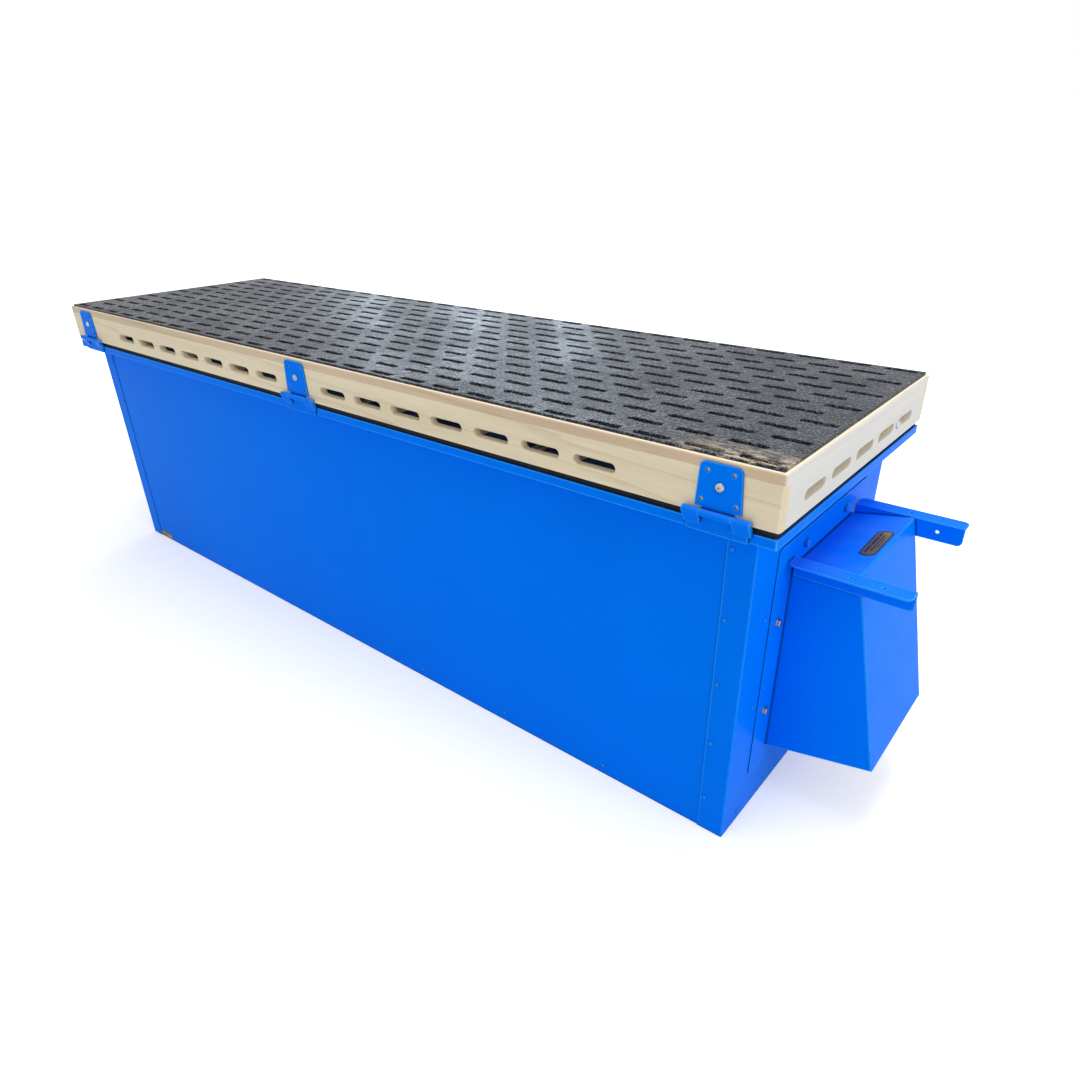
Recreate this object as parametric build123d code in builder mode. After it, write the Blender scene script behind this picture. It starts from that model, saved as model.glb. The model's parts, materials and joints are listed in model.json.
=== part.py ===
from build123d import *
import math
import os

os.makedirs("parts", exist_ok=True)

# A downdraft bench: a slotted wooden lid with a rubber mat, hinged on a sheet-metal cabinet.
# Millimetres. +Z is up, +X points to the end with the discharge hood, -Y to the hinge side.
# The origin is the centre of the cabinet's base, on the floor.

# Overall sizes
bench_length = 2438.4
bench_width = 711.2
end_overhang = 47.2          # lid past the cabinet, at each end
side_overhang = 43.1         # lid past the cabinet, at each side
rim_top = 700.0              # floor to the top of the steel rim

# Sheet metal
sheet = 1.5
wrap_flange = 55.0           # end panels, folded round on to the front and back
pan_flange = 45.0
bend_radius = 3.0
seam_screw_inset = 10.0      # seam screws, from the free edge of the wrap flange
seam_screw_drop = 55.0       # first seam screw below the top of the panels
seam_screw_pitch = 139.7
seam_screws = 5
base_screw_divisions = 8     # of the cabinet's length
end_screw_divisions = 5      # of the cabinet's width

# Steel rim and its gasket
rim_inset = 2.4              # rim edge behind the lid's face
rim_plate = 3.0
rim_lip = 17.6
rim_inner_ledge = 25.0       # rim, inside the cabinet wall
gasket_height = 13.0
gasket_width = 30.0
gasket_inset = 4.0
gasket_joint = 0.5

# Lid
rail_height = 77.0
rail_thickness = 19.0
deck_thickness = 19.0
corner_radius = 6.0
arris_radius = 4.0
mat_thickness = 5.0
mat_margin = 7.0
bearer_height = 60.0
bearer_thickness = 19.0

# Slots in the deck and the mat: rows along X, every second row moved by half a pitch
mat_slot_length = 70.0
mat_slot_width = 16.0
deck_slot_reduction = 3.0    # deck slot smaller than the mat's, each way
slot_end_margin = 53.0       # lid end to the centre of the first slot
slot_side_margin = 23.0      # lid side to the centre of the first row
slots_per_row = 25
slot_rows = 13

# Slots in the rails
rail_slot_length = 91.0
rail_slot_height = 18.5
rail_slot_drop = 63.0        # below the top of the deck
rail_slot_first = 132.7      # from the middle of the lid
rail_slot_pitch = 123.0
rail_slots_per_group = 7
end_slot_length = 85.0
end_slot_pitch = 114.2
end_slots = 5
rail_slot_arris = 2.5        # rounding round the outer edge of each slot
dome_bolt_offset = 181.0     # from the lid's middle, on the hood end

# Hinges
hinge_setback = 104.0        # lid end to the middle of the outer hinges
barrel_radius = 6.3
barrel_gap = 0.8             # barrel to the lid's face
barrel_drop = 92.0           # barrel axis below the top of the deck
pin_radius = 3.2
pin_clearance = 0.05
knuckle_half = 28.5          # lid knuckle, each side of the middle
knuckle_gap = 0.7
barrel_half = 60.0
leaf_plate = 3.0
leaf_top_half = 36.5
leaf_bottom_half = 41.5
leaf_bottom_gap = 9.0        # leaf's lower edge above the barrel axis
leaf_height = 77.0
leaf_corner = 12.0
leaf_hole_radius = 3.6
leaf_top_hole_half = 22.8
leaf_top_hole_drop = 20.0    # below the top of the deck
leaf_low_hole_half = 30.8
leaf_low_hole_drop = 70.5
leaf_screw_drop = 45.0
rail_screw_depth = 14.0
lower_leaf_half = 55.0
lower_leaf_margin = 1.4      # leaf past the rim's lip, below
lower_leaf_gap = 1.0         # leaf under the lid
lower_leaf_corner = 1.2

# Discharge hood
hood_sheet = 2.0
hood_width = 300.0
hood_wall_top = 553.0
hood_wall_bottom = 133.5
hood_ridge_reach = 122.0
hood_ridge_height = 575.0
hood_lip_reach = 211.5
hood_lip_height = 180.0
hood_flange_width = 438.0
hood_flange_top = 615.5
hood_flange_bottom = 98.5
hood_flange_corner = 12.0
hood_bolt_heights = (246.0, 452.0)
hood_top_bolt_half = 100.0
hood_screw_gap = 24.0        # small screws, out from the flange plate
hood_screw_heights = (485.0, 288.0)
throat_margin = 12.0         # exhaust opening, inside the hood
plate_reach = 100.0          # name plate on the hood's top, from the end panel
plate_half = 62.0
plate_depth = 30.0
plate_cut_x = 8.0            # cut corners of the name plate
plate_cut_y = 6.0
plate_thickness = 0.8
rating_plate_width = 76.0
rating_plate_height = 20.0
rating_plate_corner = 3.0
rating_plate_gap = 3.0       # from the wrap flange and from the floor

# Arm brackets beside the hood
arm_top = 577.5
arm_flange = 38.0
arm_web = 38.0
arm_plate = 3.0
arm_start = 6.0              # from the end panel
arm_tip = 217.0
arm_hole_radius = 3.5
arm_hole_first = 54.6
arm_hole_pitch = 57.0
arm_hole_inset = 20.0        # hole line out from the hood side
arm_side_hole = 169.0
arm_side_hole_drop = 19.0
arm_holes = 3
arm_corner = 12.0
arm_tip_corner = 10.0

# Fasteners
screw_head_radius = 4.0
screw_head_height = 2.2
screw_shank_radius = 2.0
screw_shank_length = 5.5
hinge_screw_head_radius = 8.0
hinge_screw_head_height = 3.0
hinge_screw_arris = 2.0
hex_across_flats = 13.0
hex_height = 5.5
bolt_radius = 4.0
bolt_length = 16.0
washer_radius = 9.0
washer_thickness = 1.6
dome_flat = 1.0              # edge of the dome bolt's head, before it rounds

# Inside the cabinet
filter_count = 4
filter_depth = 48.0
filter_wall = 14.0
filter_gap = 3.0
media_recess = 2.0           # filter medium behind each face of its frame
filter_shelf = 612.0         # top of the filter rack
rack_angle = 30.0
rack_plate = 3.0
tee_width = 44.0
fan_room_length = 532.0
fan_room_top = 560.0
fan_axis_height = 345.0
impeller_radius = 200.0
impeller_width = 130.0
impeller_plate = 3.0
eye_radius = 130.0
blade_count = 9
blade_thickness = 4.0
blade_lead = 38.0            # degrees from a blade's root to its tip
blade_tip_margin = 6.0
cone_gap = 4.0
cone_length = 50.0
cone_sheet = 2.0
cone_flange = 25.0
hub_length = 50.0
hub_radius = 30.8
motor_gap = 11.0             # hub to the motor's face
motor_radius = 105.0
motor_length = 250.0
shaft_radius = 14.0
shaft_clearance = 0.05
shaft_depth = 120.0
shaft_chamfer = 1.5
shaft_end_gap = 2.0
foot_height = 132.0          # feet to the shaft's axis
foot_width = 40.0
foot_spread = 85.0
terminal_box_length = 110.0
terminal_box_width = 100.0
terminal_box_height = 50.0
terminal_box_sink = 12.0
terminal_box_arris = 5.0
base_plate = 3.0
base_foot = 35.0
base_margin = 10.0           # base plate past the motor's feet
base_setback = 5.0           # from each end of the motor

# Cable entry, low on the back panel beside the motor
gland_offset = 140.0         # from the hood end
gland_height = 110.0
gland_radius = 8.0
gland_body_radius = 13.0
gland_nut_length = 7.0
gland_cap_length = 14.0
gland_cap_inset = 2.0
gland_cap_arris = 4.0
gland_thread_length = 12.0
gland_locknut = 5.0
gland_wall = 3.0

# Worked out from the above
cabinet_length = bench_length - 2 * end_overhang
cabinet_width = bench_width - 2 * side_overhang
panel_top = rim_top - rim_plate
end_face = cabinet_length / 2
side_face = cabinet_width / 2
lid_end = bench_length / 2
lid_side = bench_width / 2
rim_end = lid_end - rim_inset
rim_side = lid_side - rim_inset
lid_bottom = rim_top + gasket_height
deck_bottom = lid_bottom + rail_height
deck_top = deck_bottom + deck_thickness
barrel_y = lid_side + barrel_gap + barrel_radius
barrel_z = deck_top - barrel_drop
hinge_places = {"left": hinge_setback - lid_end, "middle": 0.0, "right": lid_end - hinge_setback}

gland_x = end_face - gland_offset
seam_screw_x = end_face - wrap_flange + seam_screw_inset
seam_screw_z = [panel_top - seam_screw_drop - seam_screw_pitch * n for n in range(seam_screws)]
base_screw_z = pan_flange / 2
side_base_screw_x = [cabinet_length * n / base_screw_divisions for n in range(-3, 4)]
end_base_screw_y = [cabinet_width * n / end_screw_divisions for n in range(-2, 3)]
side_screws = [(s * seam_screw_x, z) for s in (-1, 1) for z in seam_screw_z]
side_screws += [(x, base_screw_z) for x in side_base_screw_x]
hood_screw_y = hood_flange_width / 2 + hood_screw_gap
hood_screws = [(s * hood_screw_y, z) for s in (-1, 1) for z in hood_screw_heights]
end_screws = [(y, base_screw_z) for y in end_base_screw_y]


# ---------------------------------------------------------------- cabinet
pan_length = cabinet_length - 2 * sheet
pan_width = cabinet_width - 4 * sheet

with BuildPart() as bottom_pan:
    with BuildSketch():
        Rectangle(pan_length, pan_width)
    extrude(amount=sheet)
bottom_pan.part.label = "bottom_pan"
export_step(bottom_pan.part, "parts/bottom_pan.step")


def long_pan_flange(flange_name, side):
    """The pan's turned-up edge behind the front or the back panel."""
    with BuildPart() as flange:
        with BuildSketch(Plane.XZ.offset(-side * pan_width / 2)):
            with Locations((0, (sheet + pan_flange) / 2)):
                Rectangle(pan_length, pan_flange - sheet)
            with Locations(*[(x, base_screw_z) for x in side_base_screw_x]):
                Circle(screw_shank_radius, mode=Mode.SUBTRACT)
        extrude(amount=side * sheet)
    flange.part.label = flange_name
    export_step(flange.part, f"parts/{flange_name}.step")


def end_pan_flange(flange_name, side):
    """The pan's turned-up edge behind one end panel, between the long flanges."""
    with BuildPart() as flange:
        with BuildSketch(Plane.YZ.offset(side * pan_length / 2)):
            with Locations((0, (sheet + pan_flange) / 2)):
                Rectangle(pan_width - 2 * sheet, pan_flange - sheet)
            with Locations(*end_screws):
                Circle(screw_shank_radius, mode=Mode.SUBTRACT)
        extrude(amount=-side * sheet)
    flange.part.label = flange_name
    export_step(flange.part, f"parts/{flange_name}.step")


long_pan_flange("pan_flange_front", -1)
long_pan_flange("pan_flange_back", 1)
end_pan_flange("pan_flange_left", -1)
end_pan_flange("pan_flange_right", 1)


def side_panel(panel_name, outer_y):
    """One flat sheet behind the wrap flanges; outer_y is its front or back face."""
    with BuildPart() as panel:
        with BuildSketch(Plane.XZ.offset(-outer_y)):
            with Locations((0, panel_top / 2)):
                Rectangle(pan_length - 2 * bend_radius, panel_top)
            with Locations(*side_screws):
                Circle(screw_shank_radius, mode=Mode.SUBTRACT)
            if outer_y > 0:
                with Locations((gland_x, gland_height)):
                    Circle(gland_radius, mode=Mode.SUBTRACT)
        extrude(amount=sheet)
    panel.part.label = panel_name
    export_step(panel.part, f"parts/{panel_name}.step")


side_panel("front_panel", -(side_face - 2 * sheet))
side_panel("back_panel", side_face - sheet)


def end_panel(panel_name, side, has_exhaust):
    """An end wall folded round both corners; side is +1 at the hood end and -1 at the other."""
    with BuildPart() as panel:
        with BuildSketch():
            with Locations((side * (end_face - wrap_flange / 2), 0)):
                Rectangle(wrap_flange, cabinet_width)
            with Locations((side * (end_face - sheet - wrap_flange / 2), 0)):
                Rectangle(wrap_flange, cabinet_width - 2 * sheet, mode=Mode.SUBTRACT)
        extrude(amount=panel_top)
        corners = panel.edges().filter_by(Axis.Z).filter_by(
            lambda e: abs(abs(e.center().X) - end_face) < 0.1
        )
        fillet(corners, bend_radius)
        inner_corners = panel.edges().filter_by(Axis.Z).filter_by(
            lambda e: abs(abs(e.center().X) - (end_face - sheet)) < 0.1
            and abs(abs(e.center().Y) - (side_face - sheet)) < 0.1
        )
        fillet(inner_corners, bend_radius - sheet)
        with BuildSketch(Plane.XZ):
            with Locations(*[(side * seam_screw_x, z) for z in seam_screw_z]):
                Circle(screw_shank_radius)
        extrude(amount=cabinet_width, both=True, mode=Mode.SUBTRACT)
        with BuildSketch(Plane.YZ.offset(side * (end_face - bend_radius - sheet))):
            with Locations(*end_screws):
                Circle(screw_shank_radius)
            if has_exhaust:
                with Locations((0, (hood_wall_top + hood_wall_bottom) / 2)):
                    Rectangle(throat_width, throat_height)
                with Locations(*hood_screws):
                    Circle(screw_shank_radius)
                with Locations(*hood_bolt_places):
                    Circle(bolt_radius)
        extrude(amount=side * wrap_flange, mode=Mode.SUBTRACT)
    panel.part.label = panel_name
    export_step(panel.part, f"parts/{panel_name}.step")


throat_width = hood_width - 2 * throat_margin
throat_height = hood_wall_top - hood_wall_bottom - 2 * throat_margin
flange_bolt_y = (hood_width + hood_flange_width) / 4
top_bolt_z = (hood_wall_top + hood_flange_top) / 2
hood_bolt_places = [(s * flange_bolt_y, z) for s in (-1, 1) for z in hood_bolt_heights]
hood_bolt_places += [(s * hood_top_bolt_half, top_bolt_z) for s in (-1, 1)]
end_panel("left_end_panel", -1, False)
end_panel("right_end_panel", 1, True)


def rim_bar(bar_name, half_length, half_depth, turn):
    """One mitred angle of the rim: a flat top and a lip turned down outside."""
    ledge = half_depth - side_face + rim_inner_ledge if turn in (0, 180) else 0
    width = ledge if ledge else half_depth - end_face + rim_inner_ledge
    base = Plane.XY.rotated((0, 0, turn))
    with BuildPart() as bar:
        with BuildSketch(base.offset(panel_top)):
            with BuildLine():
                Polyline(
                    (-half_length, -half_depth),
                    (half_length, -half_depth),
                    (half_length - width, width - half_depth),
                    (width - half_length, width - half_depth),
                    close=True,
                )
            make_face()
        extrude(amount=rim_plate)
        with BuildSketch(base.offset(rim_top - rim_lip)):
            with BuildLine():
                Polyline(
                    (-half_length, -half_depth),
                    (half_length, -half_depth),
                    (half_length - rim_plate, rim_plate - half_depth),
                    (rim_plate - half_length, rim_plate - half_depth),
                    close=True,
                )
            make_face()
        extrude(amount=rim_lip)
    bar.part.label = bar_name
    export_step(bar.part, f"parts/{bar_name}.step")


rim_bar("rim_front", rim_end, rim_side, 0)
rim_bar("rim_right", rim_side, rim_end, 90)
rim_bar("rim_back", rim_end, rim_side, 180)
rim_bar("rim_left", rim_side, rim_end, 270)

gasket_x = rim_end - gasket_inset - gasket_width / 2
gasket_y = rim_side - gasket_inset - gasket_width / 2
end_strip = 2 * gasket_y - gasket_width - 2 * gasket_joint
with BuildPart() as rim_gasket:
    with BuildSketch(Plane.XY.offset(rim_top)):
        with Locations((0, -gasket_y), (0, gasket_y)):
            Rectangle(2 * gasket_x + gasket_width, gasket_width)
        with Locations((-gasket_x, 0), (gasket_x, 0)):
            Rectangle(gasket_width, end_strip)
    extrude(amount=gasket_height)
rim_gasket.part.label = "rim_gasket"
export_step(rim_gasket.part, "parts/rim_gasket.step")

with BuildPart() as panel_screws:
    for side in (-1, 1):
        outside = Plane.XZ.offset(-side * side_face)
        for place in side_screws:
            step_back = sheet if abs(place[0]) < seam_screw_x - 1 else 0
            face = outside.offset(side * step_back)
            with BuildSketch(face):
                with Locations(place):
                    Circle(screw_head_radius)
            extrude(amount=-side * screw_head_height)
            with BuildSketch(face):
                with Locations(place):
                    Circle(screw_shank_radius)
            extrude(amount=side * screw_shank_length)
    for side in (-1, 1):
        outside = Plane.YZ.offset(side * end_face)
        for place in end_screws + (hood_screws if side > 0 else []):
            with BuildSketch(outside):
                with Locations(place):
                    Circle(screw_head_radius)
            extrude(amount=side * screw_head_height)
            with BuildSketch(outside):
                with Locations(place):
                    Circle(screw_shank_radius)
            extrude(amount=-side * screw_shank_length)
panel_screws.part.label = "panel_screws"
export_step(panel_screws.part, "parts/panel_screws.step")


# ---------------------------------------------------------------- lid
mat_pitch_x = (bench_length - 2 * slot_end_margin) / (slots_per_row - 1)
mat_pitch_y = (bench_width - 2 * slot_side_margin) / (slot_rows - 1)
mat_slot_places = []
for row in range(slot_rows):
    short_row = row % 2
    row_y = (row - (slot_rows - 1) / 2) * mat_pitch_y
    for n in range(slots_per_row - short_row):
        row_x = (n - (slots_per_row - 1 - short_row) / 2) * mat_pitch_x
        mat_slot_places.append((row_x, row_y))

with BuildPart() as deck:
    with BuildSketch(Plane.XY.offset(deck_bottom)):
        RectangleRounded(bench_length, bench_width, corner_radius)
    extrude(amount=deck_thickness)
    fillet(deck.faces().sort_by(Axis.Z)[-1].edges(), arris_radius)
    with BuildSketch(Plane.XY.offset(deck_bottom)):
        with Locations(*mat_slot_places):
            SlotOverall(mat_slot_length - deck_slot_reduction, mat_slot_width - deck_slot_reduction)
    extrude(amount=deck_thickness, mode=Mode.SUBTRACT)
deck.part.label = "deck"
export_step(deck.part, "parts/deck.step")

with BuildPart() as rubber_mat:
    with BuildSketch(Plane.XY.offset(deck_top)):
        RectangleRounded(bench_length - 2 * mat_margin, bench_width - 2 * mat_margin, corner_radius)
        with Locations(*mat_slot_places):
            SlotOverall(mat_slot_length, mat_slot_width, mode=Mode.SUBTRACT)
    extrude(amount=mat_thickness)
rubber_mat.part.label = "rubber_mat"
export_step(rubber_mat.part, "parts/rubber_mat.step")

slot_z = deck_top - rail_slot_drop
rail_slot_x = [rail_slot_first + rail_slot_pitch * n for n in range(rail_slots_per_group)]
long_rail_slots = [(s * x, slot_z) for s in (-1, 1) for x in rail_slot_x]
end_rail_slots = [(end_slot_pitch * (n - (end_slots - 1) / 2), slot_z) for n in range(end_slots)]


def long_rail(rail_name, side):
    """A rail over the lid's full length, slotted, with its two outer corners rounded."""
    with BuildPart() as rail:
        with BuildSketch(Plane.XZ.offset(-side * lid_side)):
            with Locations((0, lid_bottom + rail_height / 2)):
                Rectangle(bench_length, rail_height)
            with Locations(*long_rail_slots):
                SlotOverall(rail_slot_length, rail_slot_height, mode=Mode.SUBTRACT)
        extrude(amount=side * rail_thickness)
        corners = rail.edges().filter_by(Axis.Z).filter_by(
            lambda e: abs(e.center().Y - side * lid_side) < 0.1 and abs(e.center().X) > lid_end - 1
        )
        fillet(corners, corner_radius)
        slot_edges = rail.faces().sort_by(Axis.Y)[0 if side < 0 else -1].inner_wires().edges()
        fillet(slot_edges, rail_slot_arris)
        if side < 0:
            with BuildSketch(Plane.XZ.offset(lid_side)):
                with Locations(*[(x, leaf_screw_z) for x in hinge_places.values()]):
                    Circle(screw_shank_radius)
            extrude(amount=-rail_screw_depth, mode=Mode.SUBTRACT)
    rail.part.label = rail_name
    export_step(rail.part, f"parts/{rail_name}.step")


def end_rail(rail_name, side):
    """A short rail between the long ones, slotted; the hood end carries the dome bolt."""
    with BuildPart() as rail:
        with BuildSketch(Plane.YZ.offset(side * lid_end)):
            with Locations((0, lid_bottom + rail_height / 2)):
                Rectangle(bench_width - 2 * rail_thickness, rail_height)
            with Locations(*end_rail_slots):
                SlotOverall(end_slot_length, rail_slot_height, mode=Mode.SUBTRACT)
        extrude(amount=-side * rail_thickness)
        slot_edges = rail.faces().sort_by(Axis.X)[0 if side < 0 else -1].inner_wires().edges()
        fillet(slot_edges, rail_slot_arris)
        if side > 0:
            with BuildSketch(Plane.YZ.offset(lid_end)):
                with Locations((dome_bolt_offset, slot_z)):
                    Circle(bolt_radius)
            extrude(amount=-rail_thickness, mode=Mode.SUBTRACT)
    rail.part.label = rail_name
    export_step(rail.part, f"parts/{rail_name}.step")


leaf_screw_z = deck_top - leaf_screw_drop
long_rail("rail_front", -1)
long_rail("rail_back", 1)
end_rail("rail_left", -1)
end_rail("rail_right", 1)

bearer_gaps = range(1, rail_slots_per_group - 1, 2)
bearer_x = [rail_slot_first + rail_slot_pitch * (n + 0.5) for n in bearer_gaps]
bearer_places = [(0, 0)] + [(s * x, 0) for s in (-1, 1) for x in bearer_x]
with BuildPart() as deck_bearers:
    with BuildSketch(Plane.XY.offset(deck_bottom)):
        with Locations(*bearer_places):
            Rectangle(bearer_thickness, bench_width - 2 * rail_thickness)
    extrude(amount=-bearer_height)
deck_bearers.part.label = "deck_bearers"
export_step(deck_bearers.part, "parts/deck_bearers.step")

with BuildPart() as dome_bolt:
    with BuildSketch(Plane.YZ.offset(lid_end)):
        with Locations((dome_bolt_offset, slot_z)):
            Circle(washer_radius)
    extrude(amount=hex_height)
    fillet(dome_bolt.faces().sort_by(Axis.X)[-1].edges(), hex_height - dome_flat)
    with BuildSketch(Plane.YZ.offset(lid_end)):
        with Locations((dome_bolt_offset, slot_z)):
            Circle(bolt_radius)
    extrude(amount=-rail_thickness - hex_height)
    with BuildSketch(Plane.YZ.offset(lid_end - rail_thickness)):
        with Locations((dome_bolt_offset, slot_z)):
            RegularPolygon(hex_across_flats / 2, 6, major_radius=False)
    extrude(amount=-hex_height)
dome_bolt.part.label = "dome_bolt"
export_step(dome_bolt.part, "parts/dome_bolt.step")


# ---------------------------------------------------------------- hinges
leaf_bottom = barrel_z + leaf_bottom_gap
leaf_holes = [(s * leaf_top_hole_half, deck_top - leaf_top_hole_drop) for s in (-1, 1)]
leaf_holes += [(s * leaf_low_hole_half, deck_top - leaf_low_hole_drop) for s in (-1, 1)]


def upper_leaf(leaf_name, x):
    """The leaf on the lid's front rail, with the middle knuckle."""
    outline = [(-leaf_bottom_half, 0), (leaf_bottom_half, 0)]
    outline += [(leaf_top_half, leaf_height), (-leaf_top_half, leaf_height)]
    face = Plane.XZ.offset(lid_side)
    with BuildPart() as leaf:
        with BuildSketch(face) as blank:
            with BuildLine():
                Polyline(*[(x + px, leaf_bottom + pz) for px, pz in outline], close=True)
            make_face()
            fillet(blank.vertices().group_by(Axis.Y)[-1], leaf_corner)
            with Locations(*[(x + px, pz) for px, pz in leaf_holes]):
                Circle(leaf_hole_radius, mode=Mode.SUBTRACT)
            with Locations((x, leaf_screw_z)):
                Circle(screw_shank_radius, mode=Mode.SUBTRACT)
        extrude(amount=leaf_plate)
        with BuildSketch(face):
            with Locations((x, (leaf_bottom + barrel_z) / 2)):
                Rectangle(2 * knuckle_half, leaf_bottom - barrel_z)
        extrude(amount=leaf_plate)
        with BuildSketch(Plane.YZ.offset(x - knuckle_half)):
            with Locations((-barrel_y, barrel_z)):
                Circle(barrel_radius)
        extrude(amount=2 * knuckle_half)
        with BuildSketch(Plane.YZ.offset(x - knuckle_half)):
            with Locations((-barrel_y, barrel_z)):
                Circle(pin_radius + pin_clearance)
        extrude(amount=2 * knuckle_half, mode=Mode.SUBTRACT)
    leaf.part.label = leaf_name
    export_step(leaf.part, f"parts/{leaf_name}.step")


def lower_leaf(leaf_name, x):
    """The leaf over the rim's lip, with an ear and a knuckle at each side of the lid's knuckle."""
    leaf_low = rim_top - rim_lip - lower_leaf_margin
    leaf_high = lid_bottom - lower_leaf_gap
    ear_start = knuckle_half + knuckle_gap
    ear_length = barrel_half - ear_start
    ear = [
        (-rim_side, rim_top - 5),
        (-rim_side - leaf_plate, rim_top - 7),
        (-barrel_y - barrel_radius * 0.97, barrel_z - 1.5),
        (-barrel_y, barrel_z),
        (-barrel_y + barrel_radius * 0.85, barrel_z - barrel_radius * 0.6),
        (-rim_side, rim_top + 3),
    ]
    with BuildPart() as leaf:
        with BuildSketch(Plane.XZ.offset(rim_side)):
            with Locations((x, (leaf_low + leaf_high) / 2)):
                RectangleRounded(2 * lower_leaf_half, leaf_high - leaf_low, lower_leaf_corner)
        extrude(amount=leaf_plate)
        for start in (x - barrel_half, x + ear_start):
            with BuildSketch(Plane.YZ.offset(start)):
                with BuildLine():
                    Polyline(*ear, close=True)
                make_face()
                with Locations((-barrel_y, barrel_z)):
                    Circle(barrel_radius)
                    Circle(pin_radius, mode=Mode.SUBTRACT)
            extrude(amount=ear_length)
    leaf.part.label = leaf_name
    export_step(leaf.part, f"parts/{leaf_name}.step")


for place, hinge_x in hinge_places.items():
    upper_leaf(f"hinge_upper_{place}", hinge_x)
    lower_leaf(f"hinge_lower_{place}", hinge_x)

with BuildPart() as hinge_pins:
    for hinge_x in hinge_places.values():
        with BuildSketch(Plane.YZ.offset(hinge_x - barrel_half)):
            with Locations((-barrel_y, barrel_z)):
                Circle(pin_radius)
        extrude(amount=2 * barrel_half)
hinge_pins.part.label = "hinge_pins"
export_step(hinge_pins.part, "parts/hinge_pins.step")

with BuildPart() as hinge_screws:
    leaf_face = Plane.XZ.offset(lid_side + leaf_plate)
    with BuildSketch(leaf_face):
        with Locations(*[(x, leaf_screw_z) for x in hinge_places.values()]):
            Circle(hinge_screw_head_radius)
    extrude(amount=hinge_screw_head_height)
    fillet(hinge_screws.faces().group_by(Axis.Y)[0].edges(), hinge_screw_arris)
    with BuildSketch(leaf_face):
        with Locations(*[(x, leaf_screw_z) for x in hinge_places.values()]):
            Circle(screw_shank_radius)
    extrude(amount=-leaf_plate - rail_screw_depth)
hinge_screws.part.label = "hinge_screws"
export_step(hinge_screws.part, "parts/hinge_screws.step")


# ---------------------------------------------------------------- discharge hood
hood_mouth_width = hood_width - 2 * hood_sheet
flange_front = end_face + hood_sheet
hood_profile = [
    (end_face, hood_wall_top),
    (end_face + hood_ridge_reach, hood_ridge_height),
    (end_face + hood_lip_reach, hood_lip_height),
]

with BuildPart() as hood_flange:
    with BuildSketch(Plane.YZ.offset(end_face)):
        with Locations((0, (hood_flange_top + hood_flange_bottom) / 2)):
            RectangleRounded(hood_flange_width, hood_flange_top - hood_flange_bottom, hood_flange_corner)
        with Locations((0, (hood_wall_top + hood_wall_bottom) / 2)):
            Rectangle(throat_width, throat_height, mode=Mode.SUBTRACT)
        with Locations(*hood_bolt_places):
            Circle(bolt_radius, mode=Mode.SUBTRACT)
    extrude(amount=hood_sheet)
hood_flange.part.label = "hood_flange"
export_step(hood_flange.part, "parts/hood_flange.step")

with BuildPart() as hood_cover:
    with BuildSketch(Plane.XZ.offset(-hood_width / 2)):
        with BuildLine() as fold:
            FilletPolyline(*hood_profile, radius=bend_radius)
            offset(amount=hood_sheet, side=Side.LEFT)
        make_face()
    extrude(amount=hood_width)
    split(bisect_by=Plane.YZ.offset(flange_front), keep=Keep.TOP)
hood_cover.part.label = "hood_cover"
export_step(hood_cover.part, "parts/hood_cover.step")


def hood_side(side_name, outer_y):
    """A flat side of the hood, from the flange to the cover; outer_y is its face towards +Y."""
    with BuildPart() as wall:
        with BuildSketch(Plane.XZ.offset(-outer_y)) as blank:
            with BuildLine():
                Polyline(*hood_profile, (end_face, hood_wall_bottom), close=True)
            make_face()
            fillet(blank.vertices().sort_by(Axis.Y)[-1], bend_radius)
        extrude(amount=hood_sheet)
        split(bisect_by=Plane.YZ.offset(flange_front), keep=Keep.TOP)
    wall.part.label = side_name
    export_step(wall.part, f"parts/{side_name}.step")


hood_side("hood_side_front", hood_sheet - hood_width / 2)
hood_side("hood_side_back", hood_width / 2)


def arm(arm_name, side):
    """An angle bracket along the hood side: a flat top outwards, a web down against the side."""
    inner = side * hood_width / 2
    outline = [
        (inner, arm_top),
        (inner + side * arm_flange, arm_top),
        (inner + side * arm_flange, arm_top - arm_plate),
        (inner + side * arm_plate, arm_top - arm_plate),
        (inner + side * arm_plate, arm_top - arm_web),
        (inner, arm_top - arm_web),
    ]
    hole_y = inner + side * arm_hole_inset
    arm_root_x = end_face + arm_start
    arm_tip_x = end_face + arm_tip
    arm_hole_x = end_face + arm_hole_first
    with BuildPart() as bracket:
        with BuildSketch(Plane.YZ.offset(arm_root_x)):
            with BuildLine():
                Polyline(*outline, close=True)
            make_face()
        extrude(amount=arm_tip - arm_start)
        outer_corners = bracket.edges().filter_by(Axis.Z).filter_by(
            lambda e: abs(e.center().Y - inner - side * arm_flange) < 0.1
        )
        fillet(outer_corners, arm_corner)
        low_corner = bracket.edges().filter_by(Axis.Y).filter_by(
            lambda e: abs(e.center().Z - arm_top + arm_web) < 0.1 and e.center().X > arm_tip_x - 0.1
        )
        fillet(low_corner, arm_tip_corner)
        with BuildSketch(Plane.XY.offset(arm_top)):
            with Locations(*[(arm_hole_x + arm_hole_pitch * n, hole_y) for n in range(arm_holes)]):
                Circle(arm_hole_radius)
        extrude(amount=-arm_plate, mode=Mode.SUBTRACT)
        with BuildSketch(Plane.XZ.offset(-inner)):
            with Locations((end_face + arm_side_hole, arm_top - arm_side_hole_drop)):
                Circle(arm_hole_radius)
        extrude(amount=-side * arm_plate, mode=Mode.SUBTRACT)
    bracket.part.label = arm_name
    export_step(bracket.part, f"parts/{arm_name}.step")


arm("arm_front", -1)
arm("arm_back", 1)

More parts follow.
